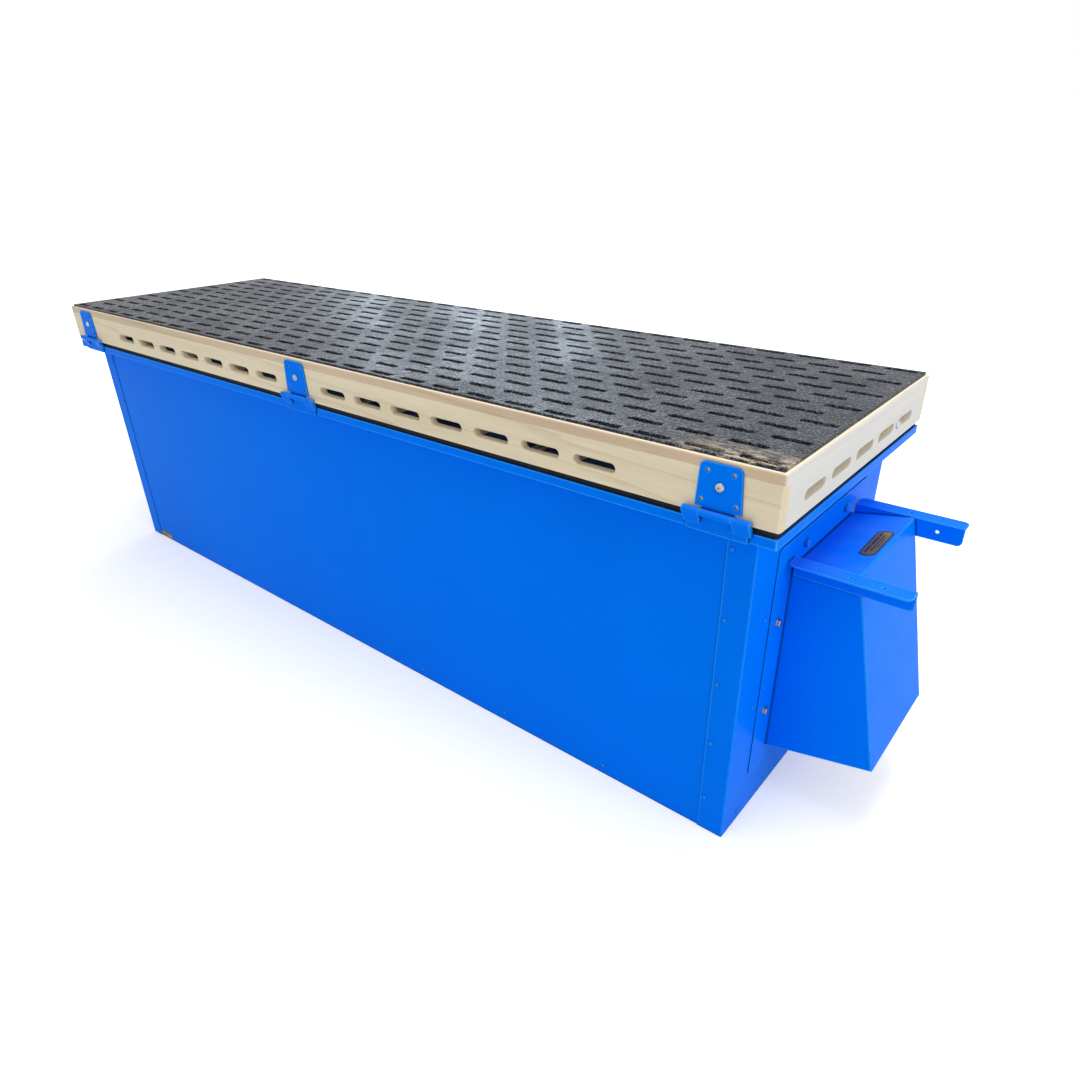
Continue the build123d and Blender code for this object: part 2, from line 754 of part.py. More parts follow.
with BuildPart() as hood_bolts:
    with BuildSketch(Plane.YZ.offset(flange_front)):
        with Locations(*hood_bolt_places):
            Circle(washer_radius)
    extrude(amount=washer_thickness)
    with BuildSketch(Plane.YZ.offset(flange_front + washer_thickness)):
        with Locations(*hood_bolt_places):
            RegularPolygon(hex_across_flats / 2, 6, major_radius=False)
    extrude(amount=hex_height)
    with BuildSketch(Plane.YZ.offset(flange_front)):
        with Locations(*hood_bolt_places):
            Circle(bolt_radius)
    extrude(amount=-bolt_length)
    with BuildSketch(Plane.YZ.offset(end_face - sheet)):
        with Locations(*hood_bolt_places):
            RegularPolygon(hex_across_flats / 2, 6, major_radius=False)
    extrude(amount=-hex_height)
hood_bolts.part.label = "hood_bolts"
export_step(hood_bolts.part, "parts/hood_bolts.step")

hood_rise = math.atan2(hood_ridge_height - hood_wall_top, hood_ridge_reach)
plate_height = hood_wall_top + plate_reach * math.tan(hood_rise)
top_face = Plane(
    origin=(end_face + plate_reach, 0, plate_height),
    x_dir=(0, 1, 0),
    z_dir=(-math.sin(hood_rise), 0, math.cos(hood_rise)),
)
cut_corner = [(plate_half, plate_depth / 2 - plate_cut_y), (plate_half - plate_cut_x, plate_depth / 2)]
plate_outline = [(-px, -py) for px, py in cut_corner]
plate_outline += [(px, -py) for px, py in reversed(cut_corner)]
plate_outline += cut_corner
plate_outline += [(-px, py) for px, py in reversed(cut_corner)]
with BuildPart() as hood_plate:
    with BuildSketch(top_face.offset(hood_sheet)):
        with BuildLine():
            Polyline(*plate_outline, close=True)
        make_face()
    extrude(amount=plate_thickness)
hood_plate.part.label = "hood_plate"
export_step(hood_plate.part, "parts/hood_plate.step")

rating_plate_x = wrap_flange - end_face + rating_plate_gap + rating_plate_width / 2
rating_plate_z = rating_plate_gap + rating_plate_height / 2
with BuildPart() as rating_plate:
    with BuildSketch(Plane.XZ.offset(side_face - sheet)):
        with Locations((rating_plate_x, rating_plate_z)):
            RectangleRounded(rating_plate_width, rating_plate_height, rating_plate_corner)
    extrude(amount=plate_thickness)
rating_plate.part.label = "rating_plate"
export_step(rating_plate.part, "parts/rating_plate.step")


# ---------------------------------------------------------------- filters
inner_length = cabinet_length - 2 * sheet
inner_width = cabinet_width - 4 * sheet
filter_pitch = inner_length / filter_count
filter_length = filter_pitch - filter_gap
filter_width = inner_width - 2 * filter_gap
rack_length = inner_length - 2 * bend_radius
filter_places = [filter_pitch * (n - (filter_count - 1) / 2) for n in range(filter_count)]

with BuildPart() as filter_rack:
    with BuildSketch(Plane.XY.offset(filter_shelf)):
        with Locations(*[(0, side * (inner_width - rack_angle) / 2) for side in (-1, 1)]):
            Rectangle(rack_length, rack_angle)
    extrude(amount=-rack_plate)
filter_rack.part.label = "filter_rack"
export_step(filter_rack.part, "parts/filter_rack.step")

with BuildPart() as filter_tees:
    with BuildSketch(Plane.XY.offset(filter_shelf)):
        for seam in range(1, filter_count):
            with Locations((filter_pitch * (seam - filter_count / 2), 0)):
                Rectangle(tee_width, inner_width - 2 * rack_angle)
    extrude(amount=-rack_plate)
filter_tees.part.label = "filter_tees"
export_step(filter_tees.part, "parts/filter_tees.step")

for hanger_name, side in (("filter_hanger_front", -1), ("filter_hanger_back", 1)):
    with BuildPart() as hanger:
        with BuildSketch(Plane.XZ.offset(-side * inner_width / 2)):
            with Locations((0, (fan_room_top + sheet + filter_shelf - rack_plate) / 2)):
                Rectangle(rack_length, filter_shelf - rack_plate - fan_room_top - sheet)
        extrude(amount=side * rack_plate)
    hanger.part.label = hanger_name
    export_step(hanger.part, f"parts/{hanger_name}.step")

for number, filter_x in enumerate(filter_places, start=1):
    with BuildPart() as filter_frame:
        with BuildSketch(Plane.XY.offset(filter_shelf)):
            with Locations((filter_x, 0)):
                Rectangle(filter_length, filter_width)
                Rectangle(filter_length - 2 * filter_wall, filter_width - 2 * filter_wall, mode=Mode.SUBTRACT)
        extrude(amount=filter_depth)
    filter_frame.part.label = f"filter_frame_{number}"
    export_step(filter_frame.part, f"parts/filter_frame_{number}.step")
    with BuildPart() as filter_media:
        with BuildSketch(Plane.XY.offset(filter_shelf + media_recess)):
            with Locations((filter_x, 0)):
                Rectangle(filter_length - 2 * filter_wall, filter_width - 2 * filter_wall)
        extrude(amount=filter_depth - 2 * media_recess)
    filter_media.part.label = f"filter_media_{number}"
    export_step(filter_media.part, f"parts/filter_media_{number}.step")


# ---------------------------------------------------------------- fan
bulkhead_x = end_face - fan_room_length
shroud_x = bulkhead_x + cone_length - cone_gap
disc_x = shroud_x + impeller_width
motor_x = disc_x + impeller_plate + hub_length + motor_gap
base_top = fan_axis_height - foot_height
pan_floor = sheet
pan_inside = cabinet_width - 6 * sheet

with BuildPart() as fan_bulkhead:
    with BuildSketch(Plane.YZ.offset(bulkhead_x - sheet)):
        with Locations((0, (fan_room_top + pan_floor) / 2)):
            Rectangle(pan_inside, fan_room_top - pan_floor)
        with Locations((0, fan_axis_height)):
            Circle(eye_radius + cone_length, mode=Mode.SUBTRACT)
    extrude(amount=sheet)
fan_bulkhead.part.label = "fan_bulkhead"
export_step(fan_bulkhead.part, "parts/fan_bulkhead.step")

with BuildPart() as fan_roof:
    with BuildSketch(Plane.XY.offset(fan_room_top)):
        with Locations(((bulkhead_x + end_face - 2 * sheet) / 2, 0)):
            Rectangle(fan_room_length - bend_radius, inner_width)
    extrude(amount=sheet)
fan_roof.part.label = "fan_roof"
export_step(fan_roof.part, "parts/fan_roof.step")

with BuildPart() as inlet_cone:
    with BuildSketch(Plane.XZ):
        with BuildLine():
            Line(
                (bulkhead_x, fan_axis_height + eye_radius + cone_length + cone_flange),
                (bulkhead_x, fan_axis_height + eye_radius + cone_length),
            )
            CenterArc(
                (bulkhead_x + cone_length, fan_axis_height + eye_radius + cone_length),
                cone_length,
                180,
                90,
            )
            offset(amount=cone_sheet, side=Side.LEFT)
        make_face()
    revolve(axis=Axis((0, 0, fan_axis_height), (1, 0, 0)), revolution_arc=360)
inlet_cone.part.label = "inlet_cone"
export_step(inlet_cone.part, "parts/inlet_cone.step")

root_reach = eye_radius + cone_gap + impeller_plate
tip_reach = impeller_radius - blade_tip_margin
with BuildPart() as impeller:
    with BuildSketch(Plane.YZ.offset(shroud_x)):
        with Locations((0, fan_axis_height)):
            Circle(impeller_radius)
            Circle(eye_radius + cone_gap, mode=Mode.SUBTRACT)
    extrude(amount=impeller_plate)
    with BuildSketch(Plane.YZ.offset(shroud_x + impeller_plate)):
        for number in range(blade_count):
            turn = math.radians(360 * number / blade_count)
            lead = turn + math.radians(blade_lead)
            root = root_reach * math.cos(turn), fan_axis_height + root_reach * math.sin(turn)
            tip = tip_reach * math.cos(lead), fan_axis_height + tip_reach * math.sin(lead)
            length = math.dist(root, tip)
            slant = math.degrees(math.atan2(tip[1] - root[1], tip[0] - root[0]))
            with Locations(((root[0] + tip[0]) / 2, (root[1] + tip[1]) / 2)):
                Rectangle(length, blade_thickness, rotation=slant)
    extrude(amount=impeller_width - impeller_plate)
    with BuildSketch(Plane.YZ.offset(disc_x)):
        with Locations((0, fan_axis_height)):
            Circle(impeller_radius)
    extrude(amount=impeller_plate)
    with BuildSketch(Plane.YZ.offset(disc_x + impeller_plate)):
        with Locations((0, fan_axis_height)):
            Circle(hub_radius)
    extrude(amount=hub_length)
    with BuildSketch(Plane.YZ.offset(disc_x)):
        with Locations((0, fan_axis_height)):
            Circle(shaft_radius)
    extrude(amount=hub_length + impeller_plate, mode=Mode.SUBTRACT)
impeller.part.label = "impeller"
export_step(impeller.part, "parts/impeller.step")

with BuildPart() as motor_shaft:
    with BuildSketch(Plane.YZ.offset(disc_x)):
        with Locations((0, fan_axis_height)):
            Circle(shaft_radius)
    extrude(amount=motor_x + shaft_depth - disc_x)
    chamfer(motor_shaft.faces().sort_by(Axis.X)[0].edges(), shaft_chamfer)
motor_shaft.part.label = "motor_shaft"
export_step(motor_shaft.part, "parts/motor_shaft.step")

with BuildPart() as motor:
    with BuildSketch(Plane.YZ.offset(motor_x)):
        with Locations((0, fan_axis_height)):
            Circle(motor_radius)
        for side in (-1, 1):
            with Locations((side * foot_spread, base_top + foot_height / 2)):
                Rectangle(foot_width, foot_height)
    extrude(amount=motor_length)
    with BuildSketch(Plane.XY.offset(fan_axis_height + motor_radius - terminal_box_sink)):
        with Locations((motor_x + motor_length / 2, 0)):
            Rectangle(terminal_box_length, terminal_box_width)
    extrude(amount=terminal_box_height)
    fillet(motor.faces().sort_by(Axis.Z)[-1].edges(), terminal_box_arris)
    with BuildSketch(Plane.YZ.offset(motor_x)):
        with Locations((0, fan_axis_height)):
            Circle(shaft_radius + shaft_clearance)
    extrude(amount=shaft_depth + shaft_end_gap, mode=Mode.SUBTRACT)
motor.part.label = "motor"
export_step(motor.part, "parts/motor.step")

base_half = foot_spread + foot_width / 2 + base_margin
with BuildPart() as motor_base:
    with BuildSketch(Plane.YZ.offset(motor_x + base_setback)):
        with BuildLine():
            Polyline(
                (-base_half - base_foot, pan_floor),
                (-base_half, pan_floor),
                (-base_half, base_top - base_plate),
                (base_half, base_top - base_plate),
                (base_half, pan_floor),
                (base_half + base_foot, pan_floor),
            )
            offset(amount=base_plate, side=Side.LEFT)
        make_face()
    extrude(amount=motor_length - 2 * base_setback)
motor_base.part.label = "motor_base"
export_step(motor_base.part, "parts/motor_base.step")

gland_face = side_face - sheet
gland_outside = gland_nut_length + gland_cap_length
with BuildPart() as cable_gland:
    with BuildSketch(Plane.XZ.offset(-gland_face)):
        with Locations((gland_x, gland_height)):
            RegularPolygon(gland_body_radius, 6)
    extrude(amount=-gland_nut_length)
    with BuildSketch(Plane.XZ.offset(-gland_face - gland_nut_length)):
        with Locations((gland_x, gland_height)):
            Circle(gland_body_radius - gland_cap_inset)
    extrude(amount=-gland_cap_length)
    fillet(cable_gland.faces().sort_by(Axis.Y)[-1].edges(), gland_cap_arris)
    with BuildSketch(Plane.XZ.offset(-gland_face)):
        with Locations((gland_x, gland_height)):
            Circle(gland_radius)
    extrude(amount=gland_thread_length)
    with BuildSketch(Plane.XZ.offset(-gland_face + sheet)):
        with Locations((gland_x, gland_height)):
            RegularPolygon(gland_body_radius, 6)
    extrude(amount=gland_locknut)
    with BuildSketch(Plane.XZ.offset(-gland_face - gland_outside)):
        with Locations((gland_x, gland_height)):
            Circle(gland_radius - gland_wall)
    extrude(amount=gland_outside + gland_thread_length, mode=Mode.SUBTRACT)
cable_gland.part.label = "cable_gland"
export_step(cable_gland.part, "parts/cable_gland.step")
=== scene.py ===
import json
from math import atan2, cos, pi, radians, sin

import bmesh
import bpy
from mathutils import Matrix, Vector, noise


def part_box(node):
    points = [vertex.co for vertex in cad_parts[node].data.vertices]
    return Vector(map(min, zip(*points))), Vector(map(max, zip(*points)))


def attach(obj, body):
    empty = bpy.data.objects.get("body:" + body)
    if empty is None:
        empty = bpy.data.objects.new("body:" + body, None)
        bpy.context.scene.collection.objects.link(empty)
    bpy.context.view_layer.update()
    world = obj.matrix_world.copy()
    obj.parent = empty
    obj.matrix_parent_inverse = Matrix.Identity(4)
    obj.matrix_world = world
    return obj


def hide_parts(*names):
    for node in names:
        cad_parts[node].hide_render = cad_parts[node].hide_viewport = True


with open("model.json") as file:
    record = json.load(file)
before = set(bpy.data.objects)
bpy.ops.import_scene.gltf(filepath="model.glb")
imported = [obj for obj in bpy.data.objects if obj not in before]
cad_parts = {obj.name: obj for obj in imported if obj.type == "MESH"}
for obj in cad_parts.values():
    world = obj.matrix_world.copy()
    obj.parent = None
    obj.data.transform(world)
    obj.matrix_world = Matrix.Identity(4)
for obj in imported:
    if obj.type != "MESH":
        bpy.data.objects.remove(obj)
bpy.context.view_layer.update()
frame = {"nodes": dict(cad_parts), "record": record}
nodes = frame["nodes"]
print("frame loaded with", len(nodes), "nodes")


# small helpers for the modelling
def onlySelect(*pieces):
    bpy.ops.object.select_all(action="DESELECT")
    for piece in pieces:
        piece.select_set(True)
    bpy.context.view_layer.objects.active = pieces[0]


def settle(piece):
    onlySelect(piece)
    bpy.ops.object.transform_apply(location=True, rotation=True, scale=True)
    return piece


def addBlock(name, low, high):
    bpy.ops.object.select_all(action="DESELECT")
    middle = [(a + b) / 2 for a, b in zip(low, high)]
    bpy.ops.mesh.primitive_cube_add(size=1, location=middle)
    block = bpy.context.object
    block.name = name
    block.scale = [b - a for a, b in zip(low, high)]
    return settle(block)


def applyModifiers(piece):
    onlySelect(piece)
    for modifier in list(piece.modifiers):
        bpy.ops.object.modifier_apply(modifier=modifier.name)
    return piece


def roundEdges(piece, width, segments=2, angle=30):
    bevel = piece.modifiers.new("rounding", "BEVEL")
    bevel.width = width
    bevel.segments = segments
    bevel.limit_method = "ANGLE"
    bevel.angle_limit = radians(angle)
    return applyModifiers(piece)


def cutAway(piece, cutter, solver="EXACT"):
    boolean = piece.modifiers.new("cut", "BOOLEAN")
    boolean.operation = "DIFFERENCE"
    boolean.solver = solver
    boolean.object = cutter
    applyModifiers(piece)
    bpy.data.objects.remove(cutter)
    return piece


def smooth(piece, angle=35):
    onlySelect(piece)
    bpy.ops.object.shade_smooth_by_angle(angle=radians(angle))
    return piece


def turnRings(name, sides, rings):
    # a round piece raised ring by ring along +Z; each ring is (height, radius)
    bpy.ops.object.select_all(action="DESELECT")
    height, radius = rings[0]
    middle = (0, 0, height)
    bpy.ops.mesh.primitive_circle_add(vertices=sides, radius=radius, fill_type="NGON", location=middle)
    piece = bpy.context.object
    piece.name = name
    settle(piece)
    bpy.ops.object.mode_set(mode="EDIT")
    bpy.ops.mesh.select_all(action="SELECT")
    for nextHeight, nextRadius in rings[1:]:
        bpy.ops.mesh.extrude_region_move(TRANSFORM_OT_translate={"value": (0, 0, nextHeight - height)})
        grow = nextRadius / radius
        bpy.ops.transform.resize(value=(grow, grow, 1), center_override=(0, 0, nextHeight))
        height, radius = nextHeight, nextRadius
    bpy.ops.mesh.select_all(action="SELECT")
    bpy.ops.mesh.normals_make_consistent(inside=False)
    bpy.ops.object.mode_set(mode="OBJECT")
    return piece


def copyTo(source, place, turn=(0, 0, 0)):
    onlySelect(source)
    bpy.ops.object.duplicate(linked=False)
    twin = bpy.context.object
    twin.location = place
    twin.rotation_euler = turn
    return twin


def joinPieces(name, pieces):
    onlySelect(*pieces)
    bpy.ops.object.join()
    piece = bpy.context.object
    piece.name = name
    return settle(piece)


def selectFaces(piece, wanted):
    # leaves the piece in edit mode with the wanted faces selected
    onlySelect(piece)
    bpy.ops.object.mode_set(mode="EDIT")
    bpy.ops.mesh.select_mode(type="FACE")
    bpy.ops.mesh.select_all(action="DESELECT")
    editMesh = bmesh.from_edit_mesh(piece.data)
    for face in editMesh.faces:
        face.select_set(wanted(face))
    bmesh.update_edit_mesh(piece.data)


def finishPiece(piece, body, slot, material, *replaced):
    if material:
        piece.data.materials.clear()
        piece.data.materials.append(material)
    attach(piece, body)
    if replaced:
        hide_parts(*replaced)
    return piece


# small helpers for the materials
def wire(tree, value, socket):
    if isinstance(value, bpy.types.NodeSocket):
        tree.links.new(value, socket)
    else:
        socket.default_value = value


def mathOf(tree, operation, first, second=0.0, clamp=False):
    node = tree.nodes.new("ShaderNodeMath")
    node.operation = operation
    node.use_clamp = clamp
    wire(tree, first, node.inputs[0])
    wire(tree, second, node.inputs[1])
    return node.outputs[0]


def times(tree, first, second, clamp=False):
    return mathOf(tree, "MULTIPLY", first, second, clamp)


def plus(tree, first, second, clamp=False):
    return mathOf(tree, "ADD", first, second, clamp)


def apart(tree, vector):
    node = tree.nodes.new("ShaderNodeSeparateXYZ")
    tree.links.new(vector, node.inputs[0])
    return node.outputs


def mixOf(tree, amount, first, second, blend="MIX"):
    node = tree.nodes.new("ShaderNodeMix")
    node.data_type = "RGBA"
    node.blend_type = blend
    wire(tree, amount, node.inputs["Factor"])
    wire(tree, first, node.inputs[6])
    wire(tree, second, node.inputs[7])
    return node.outputs[2]


def spread(tree, value, low, high, toLow=0.0, toHigh=1.0):
    node = tree.nodes.new("ShaderNodeMapRange")
    node.clamp = True
    wire(tree, value, node.inputs["Value"])
    node.inputs["From Min"].default_value = low
    node.inputs["From Max"].default_value = high
    wire(tree, toLow, node.inputs["To Min"])
    wire(tree, toHigh, node.inputs["To Max"])
    return node.outputs["Result"]


def noiseOf(tree, vector, scale, detail=3.0, rough=0.5, twist=0.0):
    node = tree.nodes.new("ShaderNodeTexNoise")
    wire(tree, vector, node.inputs["Vector"])
    wire(tree, scale, node.inputs["Scale"])
    node.inputs["Detail"].default_value = detail
    node.inputs["Roughness"].default_value = rough
    node.inputs["Distortion"].default_value = twist
    return node.outputs["Fac"]


def cellsOf(tree, vector, scale):
    node = tree.nodes.new("ShaderNodeTexVoronoi")
    node.inputs["Scale"].default_value = scale
    tree.links.new(vector, node.inputs["Vector"])
    return node.outputs


def stretched(tree, vector, scale, turn=(0, 0, 0)):
    node = tree.nodes.new("ShaderNodeMapping")
    wire(tree, vector, node.inputs["Vector"])
    node.inputs["Scale"].default_value = scale
    node.inputs["Rotation"].default_value = turn
    return node.outputs["Vector"]


def bumpOf(tree, height, strength, distance, normal=None):
    node = tree.nodes.new("ShaderNodeBump")
    node.inputs["Strength"].default_value = strength
    node.inputs["Distance"].default_value = distance
    wire(tree, height, node.inputs["Height"])
    if normal:
        tree.links.new(normal, node.inputs["Normal"])
    return node.outputs["Normal"]


def newGroup(name, inputs, outputs):
    tree = bpy.data.node_groups.new(name, "ShaderNodeTree")
    for label, kind, start in inputs:
        socket = tree.interface.new_socket(name=label, in_out="INPUT", socket_type=kind)
        if start is not None:
            socket.default_value = start
    for label, kind in outputs:
        tree.interface.new_socket(name=label, in_out="OUTPUT", socket_type=kind)
    return tree, tree.nodes.new("NodeGroupInput").outputs, tree.nodes.new("NodeGroupOutput").inputs


def placeGroup(tree, group, **values):
    node = tree.nodes.new("ShaderNodeGroup")
    node.node_tree = group
    for label, value in values.items():
        wire(tree, value, node.inputs[label])
    return node.outputs


def newMaterial(name, roughness=0.5, metallic=0.0, specular=0.5):
    material = bpy.data.materials.new(name)
    material.use_nodes = True
    tree = material.node_tree
    shader = tree.nodes["Principled BSDF"]
    shader.inputs["Roughness"].default_value = roughness
    shader.inputs["Metallic"].default_value = metallic
    shader.inputs["Specular IOR Level"].default_value = specular
    place = tree.nodes.new("ShaderNodeTexCoord")
    return material, tree, shader, place.outputs["Object"], place.outputs["Normal"]


# edges that lose their finish; in the blue paint the same mask lays a painted highlight along edges that catch
# the light
edgeGroup, given, made = newGroup(
    "edge wear and highlight",
    [
        ("Width", "NodeSocketFloat", 0.0015),
        ("Patchiness", "NodeSocketFloat", 60.0),
        ("Even", "NodeSocketFloat", 0.0),
        ("Place", "NodeSocketVector", None),
    ],
    [("Mask", "NodeSocketFloat")],
)
bevelNode = edgeGroup.nodes.new("ShaderNodeBevel")
bevelNode.samples = 4
edgeGroup.links.new(given["Width"], bevelNode.inputs["Radius"])
trueNormal = edgeGroup.nodes.new("ShaderNodeNewGeometry")
lean = edgeGroup.nodes.new("ShaderNodeVectorMath")
lean.operation = "DOT_PRODUCT"
edgeGroup.links.new(bevelNode.outputs["Normal"], lean.inputs[0])
edgeGroup.links.new(trueNormal.outputs["True Normal"], lean.inputs[1])
edgeMask = spread(edgeGroup, lean.outputs["Value"], 0.995, 0.86)
patchy = spread(edgeGroup, noiseOf(edgeGroup, given["Place"], given["Patchiness"], 4), 0.3, 0.62)
evened = mathOf(edgeGroup, "MAXIMUM", patchy, given["Even"])
edgeGroup.links.new(times(edgeGroup, edgeMask, evened), made["Mask"])

# dust that settles on what faces up
dustGroup, given, made = newGroup(
    "settled dust",
    [
        ("Place", "NodeSocketVector", None),
        ("Facing", "NodeSocketVector", None),
        ("Cover", "NodeSocketFloat", 0.3),
    ],
    [("Mask", "NodeSocketFloat")],
)
upward = spread(dustGroup, apart(dustGroup, given["Facing"])["Z"], 0.25, 0.95)
clouds = spread(dustGroup, noiseOf(dustGroup, given["Place"], 9.0, 6, 0.65), 0.38, 0.7)
specks = spread(dustGroup, noiseOf(dustGroup, given["Place"], 900.0, 2, 0.6), 0.5, 0.75)
lying = times(dustGroup, plus(dustGroup, clouds, times(dustGroup, specks, 0.6)), upward)
dustGroup.links.new(times(dustGroup, lying, given["Cover"], True), made["Mask"])

# fine lines left by rolling, brushing or machining
brushGroup, given, made = newGroup(
    "brushed metal",
    [("Place", "NodeSocketVector", None), ("Fineness", "NodeSocketFloat", 400.0)],
    [("Mask", "NodeSocketFloat"), ("Height", "NodeSocketFloat")],
)
drawn = stretched(brushGroup, given["Place"], (0.08, 1, 1))
fineLines = noiseOf(brushGroup, drawn, given["Fineness"], 3, 0.6)
stains = noiseOf(brushGroup, given["Place"], 28.0, 5, 0.6)
brushGroup.links.new(spread(brushGroup, stains, 0.3, 0.7), made["Mask"])
brushGroup.links.new(fineLines, made["Height"])

# sawn board: long grain on the faces and end grain on the cut ends; the grain runs along X of Place
grainGroup, given, made = newGroup(
    "board grain",
    [
        ("Place", "NodeSocketVector", None),
        ("Facing", "NodeSocketVector", None),
        ("Pale", "NodeSocketColor", (0.75, 0.62, 0.42, 1)),
        ("Dark", "NodeSocketColor", (0.5, 0.36, 0.2, 1)),
        ("Figure", "NodeSocketFloat", 0.5),
    ],
    [("Color", "NodeSocketColor"), ("Roughness", "NodeSocketFloat"), ("Height", "NodeSocketFloat")],
)
growth = grainGroup.nodes.new("ShaderNodeTexWave")
growth.wave_type = "BANDS"
growth.bands_direction = "DIAGONAL"
growth.wave_profile = "SAW"
grainGroup.links.new(stretched(grainGroup, given["Place"], (0.25, 5, 5)), growth.inputs["Vector"])
growth.inputs["Scale"].default_value = 2.4
growth.inputs["Distortion"].default_value = 9.0
growth.inputs["Detail"].default_value = 3.0
growth.inputs["Detail Scale"].default_value = 0.8
ringLines = spread(grainGroup, growth.outputs["Fac"], 0.80, 1.0)
longPlace = stretched(grainGroup, given["Place"], (0.9, 9, 9))
faceTone = spread(grainGroup, noiseOf(grainGroup, longPlace, 1.6, 4, 0.55, 1.2), 0.3, 0.72)
fibrePlace = stretched(grainGroup, given["Place"], (6, 260, 260))
fibres = noiseOf(grainGroup, fibrePlace, 4.0, 4, 0.65)
fleckPlace = stretched(grainGroup, given["Place"], (14, 240, 90))
flecks = spread(grainGroup, noiseOf(grainGroup, fleckPlace, 3.0, 2, 0.5), 0.60, 0.74)
faceDark = plus(grainGroup, times(grainGroup, faceTone, 0.42), times(grainGroup, ringLines, 0.34))
faceDark = plus(grainGroup, faceDark, times(grainGroup, spread(grainGroup, fibres, 0.35, 0.75), 0.24))
faceDark = plus(grainGroup, faceDark, times(grainGroup, flecks, 0.22))
faceDark = times(grainGroup, faceDark, given["Figure"], True)
endRings = grainGroup.nodes.new("ShaderNodeTexWave")
endRings.wave_type = "RINGS"
endRings.rings_direction = "X"
grainGroup.links.new(given["Place"], endRings.inputs["Vector"])
endRings.inputs["Scale"].default_value = 95.0
endRings.inputs["Distortion"].default_value = 2.5
endRings.inputs["Detail"].default_value = 2.0
endPores = noiseOf(grainGroup, given["Place"], 1600.0, 2, 0.6)
endDark = plus(grainGroup, times(grainGroup, endRings.outputs["Fac"], 0.3), times(grainGroup, endPores, 0.45))
sideways = mathOf(grainGroup, "ABSOLUTE", apart(grainGroup, given["Facing"])["X"])
darkness = grainGroup.nodes.new("ShaderNodeMix")
grainGroup.links.new(spread(grainGroup, sideways, 0.6, 0.85), darkness.inputs["Factor"])
grainGroup.links.new(faceDark, darkness.inputs[2])
grainGroup.links.new(endDark, darkness.inputs[3])
boardColour = mixOf(grainGroup, darkness.outputs[0], given["Pale"], given["Dark"])
grainGroup.links.new(boardColour, made["Color"])
grainGroup.links.new(spread(grainGroup, fibres, 0.3, 0.7, 0.46, 0.66), made["Roughness"])
grainGroup.links.new(plus(grainGroup, fibres, times(grainGroup, ringLines, -0.5)), made["Height"])
print("node groups built")


# powder-coated blue steel
bluePaintLook = {
    "coat": (0.0, 0.195, 0.98, 1),
    "shade": (0.0, 0.160, 0.86, 1),
    # edge: painted highlight colour along the edges
    "edge": (0.06, 0.50, 1.0, 1),
    # crease: painted shade colour for seams and corners
    "creaseShade": (0.0, 0.030, 0.22, 1),
    "dust": (0.55, 0.5, 0.42, 1),
    "glint": (0.1, 0.45, 1.0, 1),
    "gloss": 0.012,
    "edgeWidth": 0.0045,
    "edgeEven": 0.85,
    "edgeAmount": 0.75,
    "creaseReach": 0.006,
    "smooth": 0.30,
    "rough": 0.38,
    "peel": 0.05,
    "wave": 0.10,
}


def makeBluePaint(look):
    material, tree, shader, place, facing = newMaterial("blue powder coat", specular=look["gloss"])
    shader.inputs["Specular Tint"].default_value = look["glint"]
    drift = spread(tree, noiseOf(tree, place, 2.2, 4, 0.6, 0.4), 0.32, 0.7)
    fine = spread(tree, noiseOf(tree, place, 1400.0, 2, 0.5), 0.35, 0.7)
    coat = mixOf(tree, times(tree, drift, 0.35), look["coat"], look["shade"])
    coat = mixOf(tree, times(tree, fine, 0.10), coat, look["shade"])
    # painted highlight: the coat is lightened along its edges where they catch the light
    edgeWearAndHighlight = placeGroup(
        tree, edgeGroup, Width=look["edgeWidth"], Patchiness=35.0, Even=look["edgeEven"], Place=place
    )["Mask"]
    coat = mixOf(tree, times(tree, edgeWearAndHighlight, look["edgeAmount"]), coat, look["edge"])
    corner = tree.nodes.new("ShaderNodeAmbientOcclusion")   # painted shade: the coat is darkened in seams and corners found by ambient occlusion
    corner.samples = 6
    corner.inputs["Distance"].default_value = look["creaseReach"]
    coat = mixOf(tree, spread(tree, corner.outputs["AO"], 0.93, 0.50), coat, look["creaseShade"])
    dust = placeGroup(tree, dustGroup, Place=place, Facing=facing, Cover=0.05)["Mask"]
    coat = mixOf(tree, dust, coat, look["dust"])
    tree.links.new(coat, shader.inputs["Base Color"])
    rough = spread(tree, noiseOf(tree, place, 14.0, 5, 0.6), 0.3, 0.7, look["smooth"], look["rough"])
    tree.links.new(plus(tree, rough, times(tree, dust, 2.0)), shader.inputs["Roughness"])
    wave = noiseOf(tree, stretched(tree, place, (1, 1, 1.6)), 3.2, 2, 0.5)
    dented = bumpOf(tree, wave, look["wave"], 0.003)
    peel = noiseOf(tree, place, 420.0, 2, 0.45)
    tree.links.new(bumpOf(tree, peel, look["peel"], 0.0006, dented), shader.inputs["Normal"])
    return material


# maple, one tone and grain direction for each kind of board
mapleLook = {
    "long rail": {"pale": (0.84, 0.75, 0.54, 1), "dark": (0.48, 0.35, 0.19, 1), "turn": 0, "figure": 0.72},
    "end rail": {"pale": (0.68, 0.675, 0.64, 1), "dark": (0.46, 0.43, 0.37, 1), "turn": pi / 2, "figure": 0.36},
    "deck": {"pale": (0.68, 0.54, 0.37, 1), "dark": (0.42, 0.28, 0.17, 1), "turn": 0, "figure": 0.85},
    "bearer": {"pale": (0.66, 0.53, 0.34, 1), "dark": (0.38, 0.26, 0.14, 1), "turn": pi / 2, "figure": 0.8},
}
boardWearLook = {
    "handled": (0.88, 0.80, 0.63, 1),
    "dust": (0.80, 0.72, 0.56, 1),
    # cut wood of the slot walls, partly a painted highlight for the lit slot floors
    "freshAndLit": (0.97, 0.90, 0.72, 1),
    "freshShade": (0.90, 0.80, 0.60, 1),
    "bleached": (0.73, 0.725, 0.69, 1),
    "bleachedShade": (0.60, 0.58, 0.53, 1),
    # painted shade for the walls of the deck's slots
    "slotShade": (0.012, 0.011, 0.010, 1),
}


